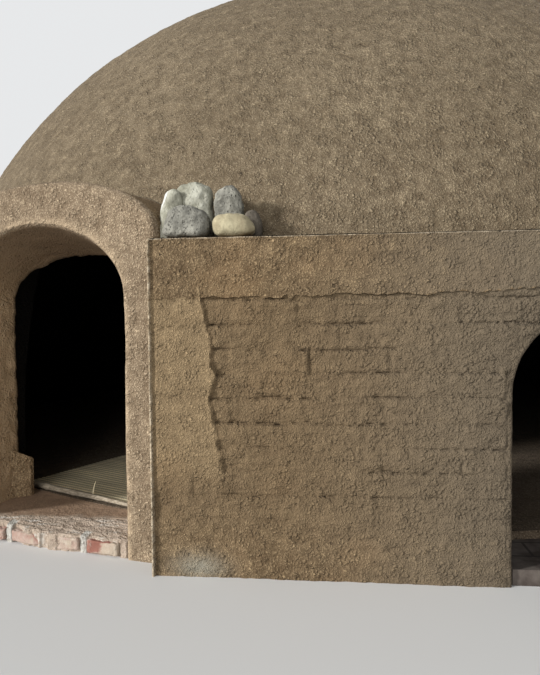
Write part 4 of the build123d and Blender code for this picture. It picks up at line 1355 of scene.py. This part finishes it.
class OBJECT_OT_temazcal_stones(bpy.types.Operator):
    """Lay the loose stones on the shelf"""
    bl_idname = "object.temazcal_stones"
    bl_label = "Shelf stones"

    def execute(self, context):
        finishes = {key: self.finish(key, *look) for key, (_, *look) in STONE_LOOKS.items()}
        for number, (node, power, planes, lump, grain, look, bulge) in enumerate(STONES):
            low, high = (np.array(c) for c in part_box(node))
            P, N = boulder(low - [bulge, 0, 0], high, power, planes, number, lump, grain)
            split = (N @ toward(*SPLIT_WAY)) * (node == SPLIT_STONE)
            faces = surface(P, N, loop_columns=True, cut=step(split, 0.93, 0.96))
            piece(node.replace("shelf_stone", "stone"), [faces], finishes[look],
                  [node], weld=0.0002, crease=40)
        return {"FINISHED"}

    def finish(self, key, dark, light, pitted):
        """Mottled stone with paler and darker veins, fine grain, and pits darkened as painted shade as far
        as it is pitted.
        """
        m = Finish(f"{key}_stone")
        mottle, fine, vein = m.noise(0.045, 4, 0.6), m.noise(0.006, 4, 0.7), m.noise(0.018, 5, 0.7)
        # painted shade: the pits darker
        pits = m.cells(0.013, m.wandering(0.02, 0.010)).ramp(0.34, 0.12) * mottle.ramp(0.35, 0.55)
        base = m.mix(mottle.ramp(0.32, 0.68), dark, light)
        base = m.coats(base, (vein.ramp(0.55, 0.68) * 0.5, 1.35), of=light)
        base = m.coats(base, (vein.ramp(0.46, 0.34) * 0.5, 0.65),
                       (fine.ramp(0.44, 0.28) * (0.3 + 0.5 * pitted), 0.45),
                       (pits * (0.50 * pitted), 0.35), of=dark)
        base = m.coats(base, (m.mask("cut") * 0.8, (0.600, 0.600, 0.570)))
        return m.shade(base, 0.9, mottle * 0.004 + vein * (0.004 + 0.008 * pitted)
                       + fine * (0.0008 + 0.0026 * pitted) - pits * (0.0050 * pitted))


class OBJECT_OT_temazcal_floors(bpy.types.Operator):
    """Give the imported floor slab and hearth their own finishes"""
    bl_idname = "object.temazcal_floors"
    bl_label = "Floor and hearth"

    def execute(self, context):
        m, base, height = plaster_finish("floor_earth", (0.150, 0.115, 0.080), grain=0.6, streak=0.1)
        self.dress("floor_slab", m.shade(base, DRY, height))
        m = Finish("hearth_brick")
        bond = m.node("ShaderNodeTexBrick", {"offset": 0.5},
                      {"Vector": m.where, "Scale": 1.0, "Mortar Size": 0.006, "Brick Width": 0.29,
                       "Row Height": 0.145, "Color1": (1, 1, 1, 1), "Color2": (0.7, 0.7, 0.7, 1),
                       "Mortar": (0, 0, 0, 1)}, "Fac")
        ash = m.noise(0.06, 4, 0.6)
        base = m.mix(ash.ramp(0.35, 0.7), (0.045, 0.034, 0.028), (0.120, 0.100, 0.085))
        base = m.coats(base, (bond * 0.7, (0.02, 0.016, 0.014)))
        self.dress("fire_hearth", m.shade(base, DRY, ash * 0.003 - bond * 0.003))
        return {"FINISHED"}

    @staticmethod
    def dress(node, finish):
        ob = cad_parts[node]
        if not ob.material_slots:
            ob.data.materials.append(finish)
        for slot in ob.material_slots:
            slot.material = finish


class OBJECT_OT_temazcal_stage(bpy.types.Operator):
    """Set the camera, the pale floor and the soft studio light"""
    bl_idname = "object.temazcal_stage"
    bl_label = "Stage"
    def execute(self, context):
        scene = context.scene
        scene.view_settings.view_transform = "Standard"
        self.camera(scene)
        self.floor(scene)
        self.sky(scene)
        for name, azimuth, elevation, softness, strength in SUNS:
            lamp = bpy.data.lights.new(name, "SUN")
            lamp.angle, lamp.energy = radians(softness), strength
            light = bpy.data.objects.new(name, lamp)
            a, e = radians(azimuth), radians(elevation)
            source = Vector((sin(a) * cos(e), -cos(a) * cos(e), sin(e)))
            aim = source.to_track_quat("Z", "Y").to_matrix().to_4x4()
            light.matrix_world = Matrix.Translation(source * 12) @ aim
            scene.collection.objects.link(light)
        return {"FINISHED"}

    def camera(self, scene):
        """A camera that looks along yaw and pitch, rolled about its line of sight."""
        yaw, pitch, roll = (radians(q) for q in CAMERA_TURN)
        forward = Vector((sin(yaw) * cos(pitch), cos(yaw) * cos(pitch), sin(pitch)))
        across = Vector((cos(yaw), -sin(yaw), 0))
        up = across.cross(forward)
        right, top = cos(roll) * across - sin(roll) * up, sin(roll) * across + cos(roll) * up
        camera = bpy.data.cameras.new("camera")
        camera.lens, camera.sensor_width, camera.clip_end = CAMERA_LENS, 36.0, 200
        ob = bpy.data.objects.new("camera", camera)
        turn = Matrix((right, top, -forward)).transposed().to_4x4()
        ob.matrix_world = Matrix.Translation(CAMERA_AT) @ turn
        scene.collection.objects.link(ob)
        scene.camera = ob

    def floor(self, scene, far=60):
        """A pale level square."""
        ground = bpy.data.meshes.new("stage_floor")
        corners = [(-far, -far, 0), (far, -far, 0), (far, far, 0), (-far, far, 0)]
        ground.from_pydata(corners, [], [(0, 1, 2, 3)])
        floor = bpy.data.objects.new("stage_floor", ground)
        scene.collection.objects.link(floor)
        m = Finish("stage_floor")
        pale = m.node("ShaderNodeBsdfPrincipled", {},
                      {"Base Color": (0.62, 0.61, 0.59, 1), "Roughness": 0.9}, "BSDF")
        m.tree.links.new(pale.link, m.out.inputs["Surface"])
        ground.materials.append(m.material)

    def sky(self, scene):
        """A glow that lights the piece from all round, and the plain backdrop that the camera sees."""
        world = bpy.data.worlds.new("studio")
        scene.world = world
        world.use_nodes = True
        nodes, links = world.node_tree.nodes, world.node_tree.links
        nodes.clear()
        out, mix = nodes.new("ShaderNodeOutputWorld"), nodes.new("ShaderNodeMixShader")
        seen = nodes.new("ShaderNodeLightPath")
        links.new(seen.outputs["Is Camera Ray"], mix.inputs[0])
        for k, (colour, strength) in enumerate((GLOW, BACKDROP), 1):
            n = nodes.new("ShaderNodeBackground")
            n.inputs["Color"].default_value, n.inputs["Strength"].default_value = colour, strength
            links.new(n.outputs[0], mix.inputs[k])
        links.new(mix.outputs[0], out.inputs[0])


class VIEW3D_PT_temazcal(bpy.types.Panel):
    """Settings and pieces of the temazcal"""
    bl_label = "Temazcal"
    bl_idname = "VIEW3D_PT_temazcal"
    bl_space_type = "VIEW_3D"
    bl_region_type = "UI"
    bl_category = "Temazcal"

    def draw(self, context):
        for group in GROUPS:
            box = self.layout.box()
            owner = getattr(context.scene, GROUPS[group])
            for key in group.__annotations__:
                box.prop(owner, key)
        for operator in OPERATORS:
            self.layout.operator(operator.bl_idname)


GROUPS = {TemazcalPlaster: "temazcal_plaster", TemazcalBench: "temazcal_bench",
          TemazcalMat: "temazcal_mat"}
OPERATORS = (OBJECT_OT_temazcal_stage, OBJECT_OT_temazcal_dome, OBJECT_OT_temazcal_doorway,
             OBJECT_OT_temazcal_bench, OBJECT_OT_temazcal_step, OBJECT_OT_temazcal_stick,
             OBJECT_OT_temazcal_mat, OBJECT_OT_temazcal_stones, OBJECT_OT_temazcal_floors)


def register():
    for cls in (*GROUPS, *OPERATORS, VIEW3D_PT_temazcal):
        bpy.utils.register_class(cls)
    for group, name in GROUPS.items():
        setattr(bpy.types.Scene, name, PointerProperty(type=group))


def unregister():
    for name in GROUPS.values():
        delattr(bpy.types.Scene, name)
    for cls in reversed((*GROUPS, *OPERATORS, VIEW3D_PT_temazcal)):
        bpy.utils.unregister_class(cls)


def main():
    register()
    for operator in OPERATORS:
        space, name = operator.bl_idname.split(".")
        if "FINISHED" not in getattr(getattr(bpy.ops, space), name)():
            raise RuntimeError(f"{operator.bl_label} wasn't built")


if __name__ == "__main__":
    main()
